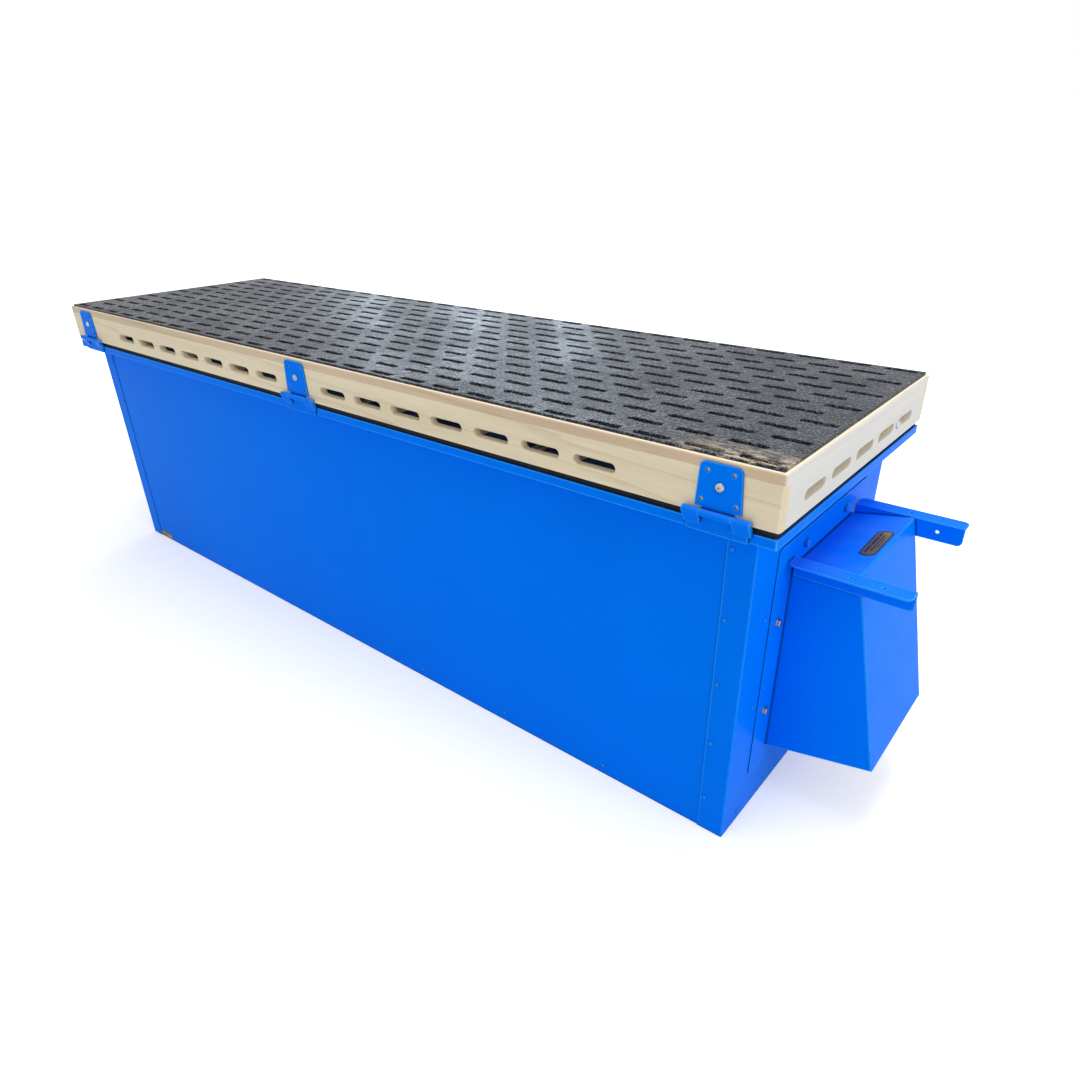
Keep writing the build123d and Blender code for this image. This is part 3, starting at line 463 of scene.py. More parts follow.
def within(tree, where, axis, edge, start, end):
    # grows from 0 to 1 going in from the lid's outer face on one axis
    return spread(tree, mathOf(tree, "ABSOLUTE", where[axis]), edge - start, edge - end)


def makeMaple(name, look, wear):
    material, tree, shader, place, facing = newMaterial("maple " + name, specular=0.35)
    along = stretched(tree, place, (1, 1, 1), (0, 0, look["turn"]))
    facingAlong = stretched(tree, facing, (1, 1, 1), (0, 0, look["turn"]))
    grain = placeGroup(
        tree, grainGroup, Place=along, Facing=facingAlong,
        Pale=look["pale"], Dark=look["dark"], Figure=look["figure"],
    )
    handled = placeGroup(tree, edgeGroup, Width=0.003, Patchiness=24.0, Place=place)["Mask"]
    board = mixOf(tree, times(tree, handled, 0.35), grain["Color"], wear["handled"])
    dust = placeGroup(tree, dustGroup, Place=place, Facing=facing, Cover=0.25)["Mask"]
    board = mixOf(tree, dust, board, wear["dust"])
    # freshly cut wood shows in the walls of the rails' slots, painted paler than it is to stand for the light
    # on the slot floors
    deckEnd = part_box("deck")[1]
    where = apart(tree, place)
    deepX = within(tree, where, "X", deckEnd.x, 0.0012, 0.0030)
    deepY = within(tree, where, "Y", deckEnd.y, 0.0012, 0.0030)
    freshAndLit = times(tree, times(tree, deepX, deepY), 0.85)
    board = mixOf(tree, freshAndLit, board, mixOf(tree, grain["Roughness"], wear["freshAndLit"], wear["freshShade"]))
    if name == "deck":
        # the sawn ends are bleached, and the walls of the slots are painted near-black as shade deep in the
        # slots, with bare wood fibre left in clumps
        side = apart(tree, facing)
        cutEnd = spread(tree, mathOf(tree, "ABSOLUTE", side["X"]), 0.6, 0.85)
        streaks = noiseOf(tree, stretched(tree, place, (8, 1, 30)), 3.0, 4, 0.6)
        bleached = mixOf(tree, spread(tree, streaks, 0.3, 0.7), wear["bleached"], wear["bleachedShade"])
        board = mixOf(tree, cutEnd, board, bleached)
        insideX = within(tree, where, "X", deckEnd.x, 0.006, 0.0075)
        insideY = within(tree, where, "Y", deckEnd.y, 0.006, 0.0075)
        notUnder = spread(tree, side["Z"], -0.8, -0.5)
        clumps = spread(tree, noiseOf(tree, place, 15.0, 4, 0.65), 0.50, 0.60)
        strands = noiseOf(tree, stretched(tree, place, (1, 1, 0.3)), 260.0, 4, 0.7)
        bare = times(tree, times(tree, clumps, spread(tree, strands, 0.42, 0.58)), 0.8)
        # painted shade: the slot walls go near-black
        slotShade = times(tree, times(tree, insideX, insideY), notUnder)
        slotShade = times(tree, slotShade, mathOf(tree, "SUBTRACT", 1.0, bare), True)
        board = mixOf(tree, slotShade, board, wear["slotShade"])
    tree.links.new(board, shader.inputs["Base Color"])
    tree.links.new(grain["Roughness"], shader.inputs["Roughness"])
    tree.links.new(bumpOf(tree, grain["Height"], 0.25, 0.0004), shader.inputs["Normal"])
    return material


# pebbled black rubber, polished in places and dusty in others
rubberLook = {
    "black": (0.004, 0.006, 0.012, 1),
    "grey": (0.034, 0.044, 0.066, 1),
    # dust: colour of the pale specks, partly a painted highlight for the pebbles' glitter
    "dust": (0.30, 0.33, 0.37, 1),
    "bare": (0.70, 0.56, 0.40, 1),
    "bareFromEnd": (0.98, 1.13),       # the bare corner grows between these places along the bench
    "bareFromFront": (-0.270, -0.335),
    "gloss": 0.15,
    "smooth": 0.26,
    "rough": 0.46,
}


def makeRubber(look):
    material, tree, shader, place, facing = newMaterial("pebbled rubber", specular=look["gloss"])
    pebble = cellsOf(tree, place, 210.0)
    crumbs = noiseOf(tree, place, 330.0, 4, 0.62)
    lumps = noiseOf(tree, place, 42.0, 4, 0.6)
    drift = noiseOf(tree, place, 5.0, 5, 0.6, 0.5)
    tone = mixOf(tree, spread(tree, crumbs, 0.42, 0.72), look["black"], look["grey"])
    tone = mixOf(tree, spread(tree, drift, 0.45, 0.75, 0.0, 0.35), tone, look["grey"])
    # pale specks: dust, brightened and spread as a painted highlight for the glitter of the pebbles
    specks = spread(tree, noiseOf(tree, place, 190.0, 5, 0.8), 0.50, 0.62)
    dustAndGlitterSpecks = times(tree, specks, spread(tree, drift, 0.35, 0.7, 0.40, 0.95))
    tone = mixOf(tree, dustAndGlitterSpecks, tone, look["dust"])
    # bare patch where the work is dragged off the front corner
    where = apart(tree, place)
    nearEnd = spread(tree, where["X"], *look["bareFromEnd"])
    nearFront = spread(tree, where["Y"], *look["bareFromFront"])
    scuffs = spread(tree, noiseOf(tree, stretched(tree, place, (26, 120, 60)), 1.0, 5, 0.7), 0.46, 0.56)
    bare = times(tree, times(tree, nearEnd, nearFront), scuffs)
    tone = mixOf(tree, bare, tone, look["bare"])
    tree.links.new(tone, shader.inputs["Base Color"])
    polish = spread(tree, noiseOf(tree, place, 7.0, 5, 0.65), 0.36, 0.66, look["smooth"], look["rough"])
    tree.links.new(plus(tree, polish, times(tree, bare, 0.4)), shader.inputs["Roughness"])
    pebbled = bumpOf(tree, pebble["Distance"], 1.0, 0.0045)
    crumbed = bumpOf(tree, crumbs, 0.9, 0.0030, pebbled)
    tree.links.new(bumpOf(tree, lumps, 0.5, 0.004, crumbed), shader.inputs["Normal"])
    return material


# torn slot edges of the mat, with wood fibre caught in them
tornLook = {"rubber": (0.003, 0.003, 0.005, 1), "fibre": (0.52, 0.41, 0.27, 1)}


def makeTornEdge(look):
    material, tree, shader, place, facing = newMaterial("torn rubber edge", roughness=0.9, specular=0.02)
    strands = noiseOf(tree, stretched(tree, place, (1, 1, 0.45)), 300.0, 4, 0.7)
    strands = spread(tree, strands, 0.52, 0.66)
    clumps = spread(tree, noiseOf(tree, place, 16.0, 4, 0.6), 0.42, 0.66)
    torn = mixOf(tree, times(tree, strands, clumps), look["rubber"], look["fibre"])
    tree.links.new(torn, shader.inputs["Base Color"])
    tree.links.new(bumpOf(tree, strands, 0.7, 0.0012), shader.inputs["Normal"])
    return material


foamLook = {"deep": (0.008, 0.009, 0.011, 1), "pale": (0.022, 0.024, 0.028, 1), "cells": 700.0}


def makeFoam(look):
    material, tree, shader, place, facing = newMaterial("gasket foam", roughness=0.9, specular=0.2)
    cells = cellsOf(tree, place, look["cells"])
    soft = noiseOf(tree, place, 30.0, 4, 0.6)
    tone = mixOf(tree, spread(tree, soft, 0.35, 0.7), look["deep"], look["pale"])
    tree.links.new(tone, shader.inputs["Base Color"])
    tree.links.new(spread(tree, soft, 0.3, 0.7, 0.78, 0.95), shader.inputs["Roughness"])
    tree.links.new(bumpOf(tree, cells["Distance"], 0.6, 0.0008), shader.inputs["Normal"])
    return material


# bare metals share one recipe with their own colours
metalLook = {
    "zinc steel": {
        "bright": (0.50, 0.52, 0.54, 1), "dull": (0.24, 0.25, 0.26, 1),
        "smooth": 0.28, "rough": 0.46, "fine": 900.0, "dirt": 0.08,
    },
    "galvanised": {
        "bright": (0.68, 0.70, 0.71, 1), "dull": (0.42, 0.44, 0.46, 1),
        "smooth": 0.32, "rough": 0.5, "fine": 500.0, "dirt": 0.25,
    },
    "fan aluminium": {
        "bright": (0.80, 0.80, 0.80, 1), "dull": (0.58, 0.58, 0.59, 1),
        "smooth": 0.26, "rough": 0.42, "fine": 700.0, "dirt": 0.15,
    },
    "bronze plate": {
        "bright": (0.50, 0.33, 0.11, 1), "dull": (0.27, 0.17, 0.05, 1),
        "smooth": 0.3, "rough": 0.48, "fine": 800.0, "dirt": 0.05,
    },
}
metalWearLook = {"edge": (0.9, 0.9, 0.88, 1), "dust": (0.5, 0.44, 0.35, 1), "spangle": 90.0}


def makeMetal(name, look, wear):
    material, tree, shader, place, facing = newMaterial(name, metallic=1.0)
    brushed = placeGroup(tree, brushGroup, Place=place, Fineness=look["fine"])
    tone = mixOf(tree, brushed["Mask"], look["bright"], look["dull"])
    if name == "galvanised":   # spangle of the zinc coat
        tone = mixOf(tree, 0.22, tone, cellsOf(tree, place, wear["spangle"])["Color"], "OVERLAY")
    edgeWearAndHighlight = placeGroup(tree, edgeGroup, Width=0.0006, Patchiness=120.0, Place=place)["Mask"]
    tone = mixOf(tree, times(tree, edgeWearAndHighlight, 0.6), tone, wear["edge"])
    dust = placeGroup(tree, dustGroup, Place=place, Facing=facing, Cover=look["dirt"])["Mask"]
    tone = mixOf(tree, dust, tone, wear["dust"])
    tree.links.new(tone, shader.inputs["Base Color"])
    bare = mathOf(tree, "SUBTRACT", 1.0, times(tree, dust, 1.5), True)
    tree.links.new(bare, shader.inputs["Metallic"])
    rough = spread(tree, brushed["Mask"], 0, 1, look["smooth"], look["rough"])
    tree.links.new(rough, shader.inputs["Roughness"])
    tree.links.new(bumpOf(tree, brushed["Height"], 0.15, 0.0003), shader.inputs["Normal"])
    return material


plateInkLook = {"ink": (0.012, 0.010, 0.008, 1), "rubbed": (0.05, 0.035, 0.016, 1)}


def makePlateInk(look):
    material, tree, shader, place, facing = newMaterial("plate ink", roughness=0.5, specular=0.3)
    rubbed = spread(tree, noiseOf(tree, place, 300.0, 4, 0.7), 0.45, 0.75)
    tree.links.new(mixOf(tree, rubbed, look["ink"], look["rubbed"]), shader.inputs["Base Color"])
    tree.links.new(spread(tree, rubbed, 0, 1, 0.4, 0.62), shader.inputs["Roughness"])
    tree.links.new(bumpOf(tree, rubbed, 0.2, 0.0003), shader.inputs["Normal"])
    return material


filterClothLook = {
    "deep": (0.03, 0.075, 0.24, 1), "pale": (0.075, 0.15, 0.37, 1),
    "dust": (0.42, 0.34, 0.24, 1), "sheen": 0.25,
}


def makeFilterCloth(look):
    material, tree, shader, place, facing = newMaterial("filter cloth", roughness=0.95, specular=0.1)
    shader.inputs["Sheen Weight"].default_value = look["sheen"]
    fuzz = noiseOf(tree, stretched(tree, place, (1, 1, 0.6)), 900.0, 4, 0.7)
    cloth = mixOf(tree, spread(tree, fuzz, 0.35, 0.7), look["deep"], look["pale"])
    dust = placeGroup(tree, dustGroup, Place=place, Facing=facing, Cover=0.35)["Mask"]
    tree.links.new(mixOf(tree, dust, cloth, look["dust"]), shader.inputs["Base Color"])
    tree.links.new(bumpOf(tree, fuzz, 0.6, 0.0010), shader.inputs["Normal"])
    return material


motorLook = {
    "deep": (0.16, 0.18, 0.20, 1), "pale": (0.21, 0.235, 0.255, 1),
    "edge": (0.42, 0.43, 0.44, 1), "dust": (0.42, 0.37, 0.3, 1),
}


def makeMotorGrey(look):
    material, tree, shader, place, facing = newMaterial("motor enamel", specular=0.5)
    patch = spread(tree, noiseOf(tree, place, 24.0, 5, 0.6), 0.35, 0.7)
    tone = mixOf(tree, patch, look["deep"], look["pale"])
    edgeWearAndHighlight = placeGroup(tree, edgeGroup, Width=0.0012, Patchiness=70.0, Place=place)["Mask"]
    tone = mixOf(tree, times(tree, edgeWearAndHighlight, 0.6), tone, look["edge"])
    dust = placeGroup(tree, dustGroup, Place=place, Facing=facing, Cover=0.5)["Mask"]
    tree.links.new(mixOf(tree, dust, tone, look["dust"]), shader.inputs["Base Color"])
    tree.links.new(spread(tree, patch, 0, 1, 0.42, 0.6), shader.inputs["Roughness"])
    cast = noiseOf(tree, place, 500.0, 3, 0.6)
    tree.links.new(bumpOf(tree, cast, 0.3, 0.0008), shader.inputs["Normal"])
    return material


nylonLook = {"deep": (0.016, 0.016, 0.017, 1), "pale": (0.045, 0.045, 0.047, 1)}


def makeBlackNylon(look):
    material, tree, shader, place, facing = newMaterial("black nylon", specular=0.4)
    mottle = noiseOf(tree, place, 260.0, 4, 0.6)
    tone = mixOf(tree, spread(tree, mottle, 0.35, 0.7), look["deep"], look["pale"])
    tree.links.new(tone, shader.inputs["Base Color"])
    tree.links.new(spread(tree, mottle, 0.3, 0.7, 0.42, 0.62), shader.inputs["Roughness"])
    tree.links.new(bumpOf(tree, mottle, 0.25, 0.0005), shader.inputs["Normal"])
    return material


bluePaint = makeBluePaint(bluePaintLook)
maple = {name: makeMaple(name, look, boardWearLook) for name, look in mapleLook.items()}
rubber = makeRubber(rubberLook)
tornEdge = makeTornEdge(tornLook)
foam = makeFoam(foamLook)
metals = {name: makeMetal(name, look, metalWearLook) for name, look in metalLook.items()}
plateInk = makePlateInk(plateInkLook)
filterCloth = makeFilterCloth(filterClothLook)
motorGrey = makeMotorGrey(motorLook)
blackNylon = makeBlackNylon(nylonLook)
print("materials made")

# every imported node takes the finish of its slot, and each board its own grain
finishOf = {
    "blue_paint": bluePaint,
    "mat_rubber": rubber,
    "gasket_foam": foam,
    "zinc_steel": metals["zinc steel"],
    "bronze_plate": metals["bronze plate"],
    "galvanised": metals["galvanised"],
    "filter_cloth": filterCloth,
    "motor_grey": motorGrey,
    "fan_aluminium": metals["fan aluminium"],
    "black_nylon": blackNylon,
    "maple": maple["long rail"],
}
boardOf = {"deck": "deck", "rail_left": "end rail", "rail_right": "end rail", "deck_bearers": "bearer"}
for part in frame["record"]["subparts"]:
    node = nodes[part["node"]]
    finish = maple[boardOf[node.name]] if node.name in boardOf else finishOf[part["material_slot"]]
    node.data.materials.clear()
    node.data.materials.append(finish)


# slotted rubber mat: one slab, cut by a slot shape repeated over it
matLook = {
    "slotLength": 0.070,
    "slotWidth": 0.016,
    "perRow": 25,
    "rows": 13,
    "firstEnd": 0.053,
    "firstSide": 0.023,
    "ragged": 0.0019,
    "flare": 0.0011,
    "mouth": 0.0013,
    "edge": 0.0012,
    "cuts": 11,
    "seed": 7,
}


def makeSlotShape(look, bottom, top):
    # a circle pulled out to both ends, its long sides divided, raised into a cutter with a flared mouth
    bpy.ops.object.select_all(action="DESELECT")
    wide, length = look["slotWidth"], look["slotLength"]
    turn = (0, 0, radians(15))
    bpy.ops.mesh.primitive_circle_add(vertices=12, radius=wide / 2, fill_type="NOTHING", rotation=turn)
    slot = settle(bpy.context.object)
    reach = (length - wide) / 2
    for vertex in slot.data.vertices:
        vertex.co.x += reach if vertex.co.x > 0 else -reach
    bpy.ops.object.mode_set(mode="EDIT")
    bpy.ops.mesh.select_mode(type="EDGE")
    bpy.ops.mesh.select_all(action="DESELECT")
    editMesh = bmesh.from_edit_mesh(slot.data)
    for edge in editMesh.edges:
        edge.select_set(edge.calc_length() > reach)
    bmesh.update_edit_mesh(slot.data)
    bpy.ops.mesh.subdivide(number_cuts=look["cuts"])
    bpy.ops.mesh.select_all(action="SELECT")
    bpy.ops.mesh.edge_face_add()
    low, mouth, high = bottom - 0.002, top - look["mouth"], top + 0.0006
    steps = [(low, mouth, 1.0), (mouth, high, 1 + look["flare"] * 2 / wide)]
    bpy.ops.transform.translate(value=(0, 0, low))
    for start, end, grow in steps:
        bpy.ops.mesh.extrude_region_move(TRANSFORM_OT_translate={"value": (0, 0, end - start)})
        lengthGrow = 1 + (grow - 1) * wide / length
        bpy.ops.transform.resize(value=(lengthGrow, grow, 1), center_override=(0, 0, end))
    bpy.ops.mesh.select_all(action="SELECT")
    bpy.ops.mesh.normals_make_consistent(inside=False)
    bpy.ops.object.mode_set(mode="OBJECT")
    slot.data.materials.append(tornEdge)
    return slot


def makeMat(look):
    low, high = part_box("rubber_mat")
    deckLow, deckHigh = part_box("deck")
    slab = addBlock("slotted_mat", low, high)
    roundEdges(slab, look["edge"], 2)
    slab.data.materials.append(rubber)
    slot = makeSlotShape(look, low.z, high.z)
    # rows of slots, every second row moved by half a pitch
    pitchX = (deckHigh.x - deckLow.x - 2 * look["firstEnd"]) / (look["perRow"] - 1)
    pitchY = (deckHigh.y - deckLow.y - 2 * look["firstSide"]) / (look["rows"] - 1)
    cutters = []
    for short, rowCount in ((0, (look["rows"] + 1) // 2), (1, look["rows"] // 2)):
        count = look["perRow"] - short
        startY = deckLow.y + look["firstSide"] + short * pitchY
        block = copyTo(slot, (-(count - 1) / 2 * pitchX, startY, 0))
        for step, copies in (((pitchX, 0, 0), count), ((0, 2 * pitchY, 0), rowCount)):
            array = block.modifiers.new("repeat", "ARRAY")
            array.use_relative_offset = False
            array.use_constant_offset = True
            array.constant_offset_displace = step
            array.count = copies
        cutters.append(applyModifiers(block))
    bpy.data.objects.remove(slot)
    cutter = joinPieces("slot cutters", cutters)
    noise.seed_set(look["seed"])   # the same tears each run
    for vertex in cutter.data.vertices:   # no two edges torn alike
        place = vertex.co.copy()
        place.z = 0
        shift = noise.noise_vector(place * 230.0) * 0.7 + noise.noise_vector(place * 60.0) * 0.6
        vertex.co.x += shift.x * look["ragged"]
        vertex.co.y += shift.y * look["ragged"]
    cutAway(slab, cutter)
    return finishPiece(slab, "lid", "mat_rubber", None, "rubber_mat")


slottedMat = makeMat(matLook)
print("mat:", len(slottedMat.data.polygons), "faces")


# cross-recess screw head, used small on the panels and large on the hinges
def makeScrew(name, look):
    radius, height, shank, shankRadius = (look[key] for key in ("radius", "height", "shank", "shankRadius"))
    rings = [
        (-shank, shankRadius * 0.6),
        (-shank + shankRadius * 0.6, shankRadius),
        (0, shankRadius),
        (0, radius * 0.96),
        (height * 0.18, radius),
        (height * 0.5, radius * 0.94),
        (height * 0.8, radius * 0.74),
        (height * 0.97, radius * 0.4),
    ]
    screw = turnRings(name, 18, rings)
    wing, thick, floor, above = radius * 0.52, radius * 0.13, height * 0.38, height * 1.2
    for wingX, wingY in ((wing, thick), (thick, wing)):
        blade = addBlock("recess", (-wingX, -wingY, floor), (wingX, wingY, above))
        selectFaces(blade, lambda face: face.normal.z < -0.5)
        bpy.ops.transform.resize(value=(0.35, 0.35, 1), center_override=(0, 0, floor))
        bpy.ops.object.mode_set(mode="OBJECT")
        cutAway(screw, blade)
    return smooth(screw, 40)


# small screws down both seams, round the base and beside the hood's plate
panelScrewLook = {"radius": 0.0040, "height": 0.0022, "shank": 0.0055, "shankRadius": 0.0020}
panelScrewRows = {
    "seams": 5,
    "seamInset": 0.045,
    "seamDrop": 0.055,
    "seamPitch": 0.1397,
    "baseHeight": 0.0225,
    "plateGap": 0.243,
    "plateHeights": (0.485, 0.288),
    "sheet": 0.0015,
}
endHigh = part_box("right_end_panel")[1]


def makePanelScrews(look, rows):
    endFace, sideFace, panelTop = endHigh
    screw = makeScrew("panel screw", look)
    heads = []
    for side in (-1, 1):
        turn = (-side * pi / 2, 0, 0)
        for n in range(rows["seams"]):
            height = panelTop - rows["seamDrop"] - rows["seamPitch"] * n
            for end in (-1, 1):
                place = (end * (endFace - rows["seamInset"]), side * sideFace, height)
                heads.append(copyTo(screw, place, turn))
        for n in range(-3, 4):
            place = (endFace * n / 4, side * (sideFace - rows["sheet"]), rows["baseHeight"])
            heads.append(copyTo(screw, place, turn))
        turn = (0, side * pi / 2, 0)
        for n in range(-2, 3):
            heads.append(copyTo(screw, (side * endFace, 2 * sideFace * n / 5, rows["baseHeight"]), turn))
    for side in (-1, 1):
        for height in rows["plateHeights"]:
            heads.append(copyTo(screw, (endFace, side * rows["plateGap"], height), (0, pi / 2, 0)))
    bpy.data.objects.remove(screw)
    joined = joinPieces("panel_screw_heads", heads)
    return finishPiece(joined, "cabinet", "blue_paint", bluePaint, "panel_screws")


makePanelScrews(panelScrewLook, panelScrewRows)

hingeScrewLook = {"radius": 0.0080, "height": 0.0030, "shank": 0.017, "shankRadius": 0.0020}


def makeHingeScrews(look):
    low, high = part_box("hinge_screws")
    leafFace = low.y + look["height"]
    screw = makeScrew("hinge screw", look)
    screws = []
    for place in ("left", "middle", "right"):
        leafLow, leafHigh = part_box("hinge_upper_" + place)
        spot = ((leafLow.x + leafHigh.x) / 2, leafFace, (low.z + high.z) / 2)
        screws.append(copyTo(screw, spot, (pi / 2, 0, 0)))
    bpy.data.objects.remove(screw)
    joined = joinPieces("hinge_pan_screws", screws)
    return finishPiece(joined, "lid", "zinc_steel", metals["zinc steel"], "hinge_screws")


makeHingeScrews(hingeScrewLook)

# hex bolts with washers outside and nuts inside
hoodBoltLook = {
    "flats": 0.013,
    "head": 0.0055,
    "washer": 0.009,
    "washerThick": 0.0016,
    "bolt": 0.004,
    "length": 0.016,
    "sheet": 0.0015,
    "heights": (0.246, 0.452),
    "topSpread": 0.100,
}


def makeHex(name, flats, low, high, dished):
    corner = flats / 2 / cos(pi / 6)
    edge = (high - low) * 0.16
    rings = [(low, corner * 0.98), (low + edge, corner), (high - edge, corner), (high, corner * 0.88)]
    piece = turnRings(name, 6, rings)
    if dished:
        selectFaces(piece, lambda face: face.normal.z > 0.9 and face.calc_center_median().z > high - 0.0001)
        bpy.ops.mesh.inset(thickness=flats * 0.14, depth=-0.0004)
        bpy.ops.object.mode_set(mode="OBJECT")
    return roundEdges(piece, 0.0003, 2, 20)


def makeHoodBolts(look):
    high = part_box("hood_bolts")[1]
    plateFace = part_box("hood_flange")[1].x
    wide, thick, bolt = look["washer"], look["washerThick"], look["bolt"]
    rings = [(0, wide * 0.97), (0.0003, wide), (thick - 0.0003, wide), (thick, wide * 0.96)]
    washer = turnRings("washer", 28, rings)
    head = makeHex("head", look["flats"], thick, thick + look["head"], True)
    tip = -look["length"]
    shank = turnRings("shank", 16, [(tip, bolt * 0.8), (tip + 0.001, bolt), (0.001, bolt)])
    inside = -(plateFace - endHigh.x) - look["sheet"]
    nut = makeHex("nut", look["flats"], inside - look["head"], inside, False)
    model = joinPieces("hood bolt", [washer, head, shank, nut])
    side, top = high.y - wide, high.z - wide
    spots = [(s * side, z) for s in (-1, 1) for z in look["heights"]]
    spots += [(s * look["topSpread"], top) for s in (-1, 1)]
    bolts = [copyTo(model, (plateFace, y, z), (0, pi / 2, 0)) for y, z in spots]
    for copied in bolts:   # the top pair was painted over with the hood
        painted = abs(copied.location.y) < side * 0.9
        copied.data.materials.clear()
        copied.data.materials.append(bluePaint if painted else metals["zinc steel"])
    bpy.data.objects.remove(model)
    joined = joinPieces("hood_hex_bolts", bolts)
    return smooth(finishPiece(joined, "cabinet", "zinc_steel", None, "hood_bolts"), 30)


makeHoodBolts(hoodBoltLook)

domeBoltLook = {"head": 0.009, "rise": 0.0055, "bolt": 0.004, "rail": 0.019, "nut": 0.0055, "flats": 0.013}


def makeDomeBolt(look):
    low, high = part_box("dome_bolt")
    rise, wide, bolt, lip = look["rise"], look["head"], look["bolt"], 0.0008
    back = -look["rail"]
    end = back - look["nut"]
    angles = [radians(a) for a in (0, 15, 30, 45, 60, 74, 85)]
    dome = [(0, wide)] + [(lip + (rise - lip) * sin(a), wide * cos(a)) for a in angles]
    head = turnRings("dome", 32, dome)
    shank = turnRings("shank", 16, [(end, bolt * 0.85), (back, bolt), (0.0005, bolt)])
    nut = makeHex("nut", look["flats"], end, back, False)
    piece = joinPieces("domed_bolt", [head, shank, nut])
    piece.rotation_euler = (0, pi / 2, 0)
    piece.location = (high.x - rise, (low.y + high.y) / 2, (low.z + high.z) / 2)
    return smooth(finishPiece(settle(piece), "lid", "zinc_steel", metals["zinc steel"], "dome_bolt"), 30)


makeDomeBolt(domeBoltLook)
print("fasteners made")

# bronze plates: a dark raised rim and plain dark bars on the bare field
# bars are (left, right, lower, upper) as shares of the field
hoodPlateLook = {
    "half": 0.062,
    "depth": 0.030,
    "corner": 0.008,
    "thick": 0.0008,
    "rim": 0.0022,
    "field": 0.0004,
    "slopeRise": 0.022,
    "slopeRun": 0.122,
    "bars": [
        (-0.86, -0.30, 0.25, 0.80),
        (-0.20, 0.50, 0.25, 0.80),
        (0.58, 0.86, 0.25, 0.80),
        (-0.70, 0.05, -0.35, -0.05),
        (0.12, 0.70, -0.35, -0.05),
        (-0.45, 0.45, -0.78, -0.60),
    ],
}
ratingPlateLook = {
    "half": 0.038,
    "depth": 0.020,
    "corner": 0.002,
    "thick": 0.0008,
    "rim": 0.0016,
    "field": 0.0004,
    "bars": [
        (-0.85, 0.10, 0.30, 0.72),
        (0.20, 0.85, 0.30, 0.72),
        (-0.85, 0.40, -0.20, 0.02),
        (-0.85, 0.65, -0.70, -0.48),
    ],
}


def makePlate(name, look):
    # lies in XY with its back at z = 0
    halfX, halfY, thick = look["half"], look["depth"] / 2, look["thick"]
    plate = addBlock(name, (-halfX, -halfY, 0), (halfX, halfY, thick))
    selectFaces(plate, lambda face: False)
    bpy.ops.mesh.select_mode(type="EDGE")
    editMesh = bmesh.from_edit_mesh(plate.data)
    for edge in editMesh.edges:
        edge.select_set(abs((edge.verts[0].co - edge.verts[1].co).normalized().z) > 0.9)
    bmesh.update_edit_mesh(plate.data)
    bpy.ops.mesh.bevel(offset=look["corner"], segments=1)
    bpy.ops.mesh.select_mode(type="FACE")
    bpy.ops.object.mode_set(mode="OBJECT")
    plate.data.materials.append(plateInk)
    plate.data.materials.append(metals["bronze plate"])
    selectFaces(plate, lambda face: face.normal.z > 0.9)
    bpy.ops.mesh.inset(thickness=look["rim"])
    bpy.ops.mesh.inset(thickness=0.0003, depth=-look["field"])
    bpy.context.object.active_material_index = 1
    bpy.ops.object.material_slot_assign()
    bpy.ops.object.mode_set(mode="OBJECT")
    pieces = [plate]
    fieldX, fieldY = halfX - look["rim"] * 2, halfY - look["rim"] * 2
    sunk = thick - look["field"] * 1.5
    for left, right, lower, upper in look["bars"]:
        bar = addBlock("bar", (left * fieldX, lower * fieldY, sunk), (right * fieldX, upper * fieldY, thick))
        middle = ((left + right) / 2 * fieldX, (lower + upper) / 2 * fieldY, thick)
        selectFaces(bar, lambda face: face.normal.z > 0.9)
        bpy.ops.transform.resize(value=(0.985, 0.8, 1), center_override=middle)
        bpy.ops.object.mode_set(mode="OBJECT")
        bar.data.materials.append(plateInk)
        pieces.append(bar)
    return joinPieces(name, pieces)


def makeHoodPlate(look):
    low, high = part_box("hood_plate")
    plate = makePlate("hood_name_plate", look)
    for vertex in plate.data.vertices:   # a quarter turn, so that its long side runs across the hood
        vertex.co.x, vertex.co.y = -vertex.co.y, vertex.co.x
    plate.rotation_euler = (0, -atan2(look["slopeRise"], look["slopeRun"]), 0)
    outward = plate.rotation_euler.to_matrix() @ Vector((0, 0, 1))
    middle = Vector(((low.x + high.x) / 2, 0, (low.z + high.z) / 2))
    plate.location = middle - outward * look["thick"] / 2
    return finishPiece(settle(plate), "cabinet", "bronze_plate", None, "hood_plate")


def makeRatingPlate(look):
    low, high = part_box("rating_plate")
    plate = makePlate("rating_name_plate", look)
    plate.rotation_euler = (pi / 2, 0, 0)
    plate.location = ((low.x + high.x) / 2, high.y, (low.z + high.z) / 2)
    return finishPiece(settle(plate), "cabinet", "bronze_plate", None, "rating_plate")


makeHoodPlate(hoodPlateLook)
makeRatingPlate(ratingPlateLook)
print("plates made")

# pleated cloth in each filter frame, folded from one flat sheet
mediaLook = {"filters": 4, "pleats": 22, "thick": 0.0012, "rows": 8, "sway": 0.0016, "soft": 0.0012}


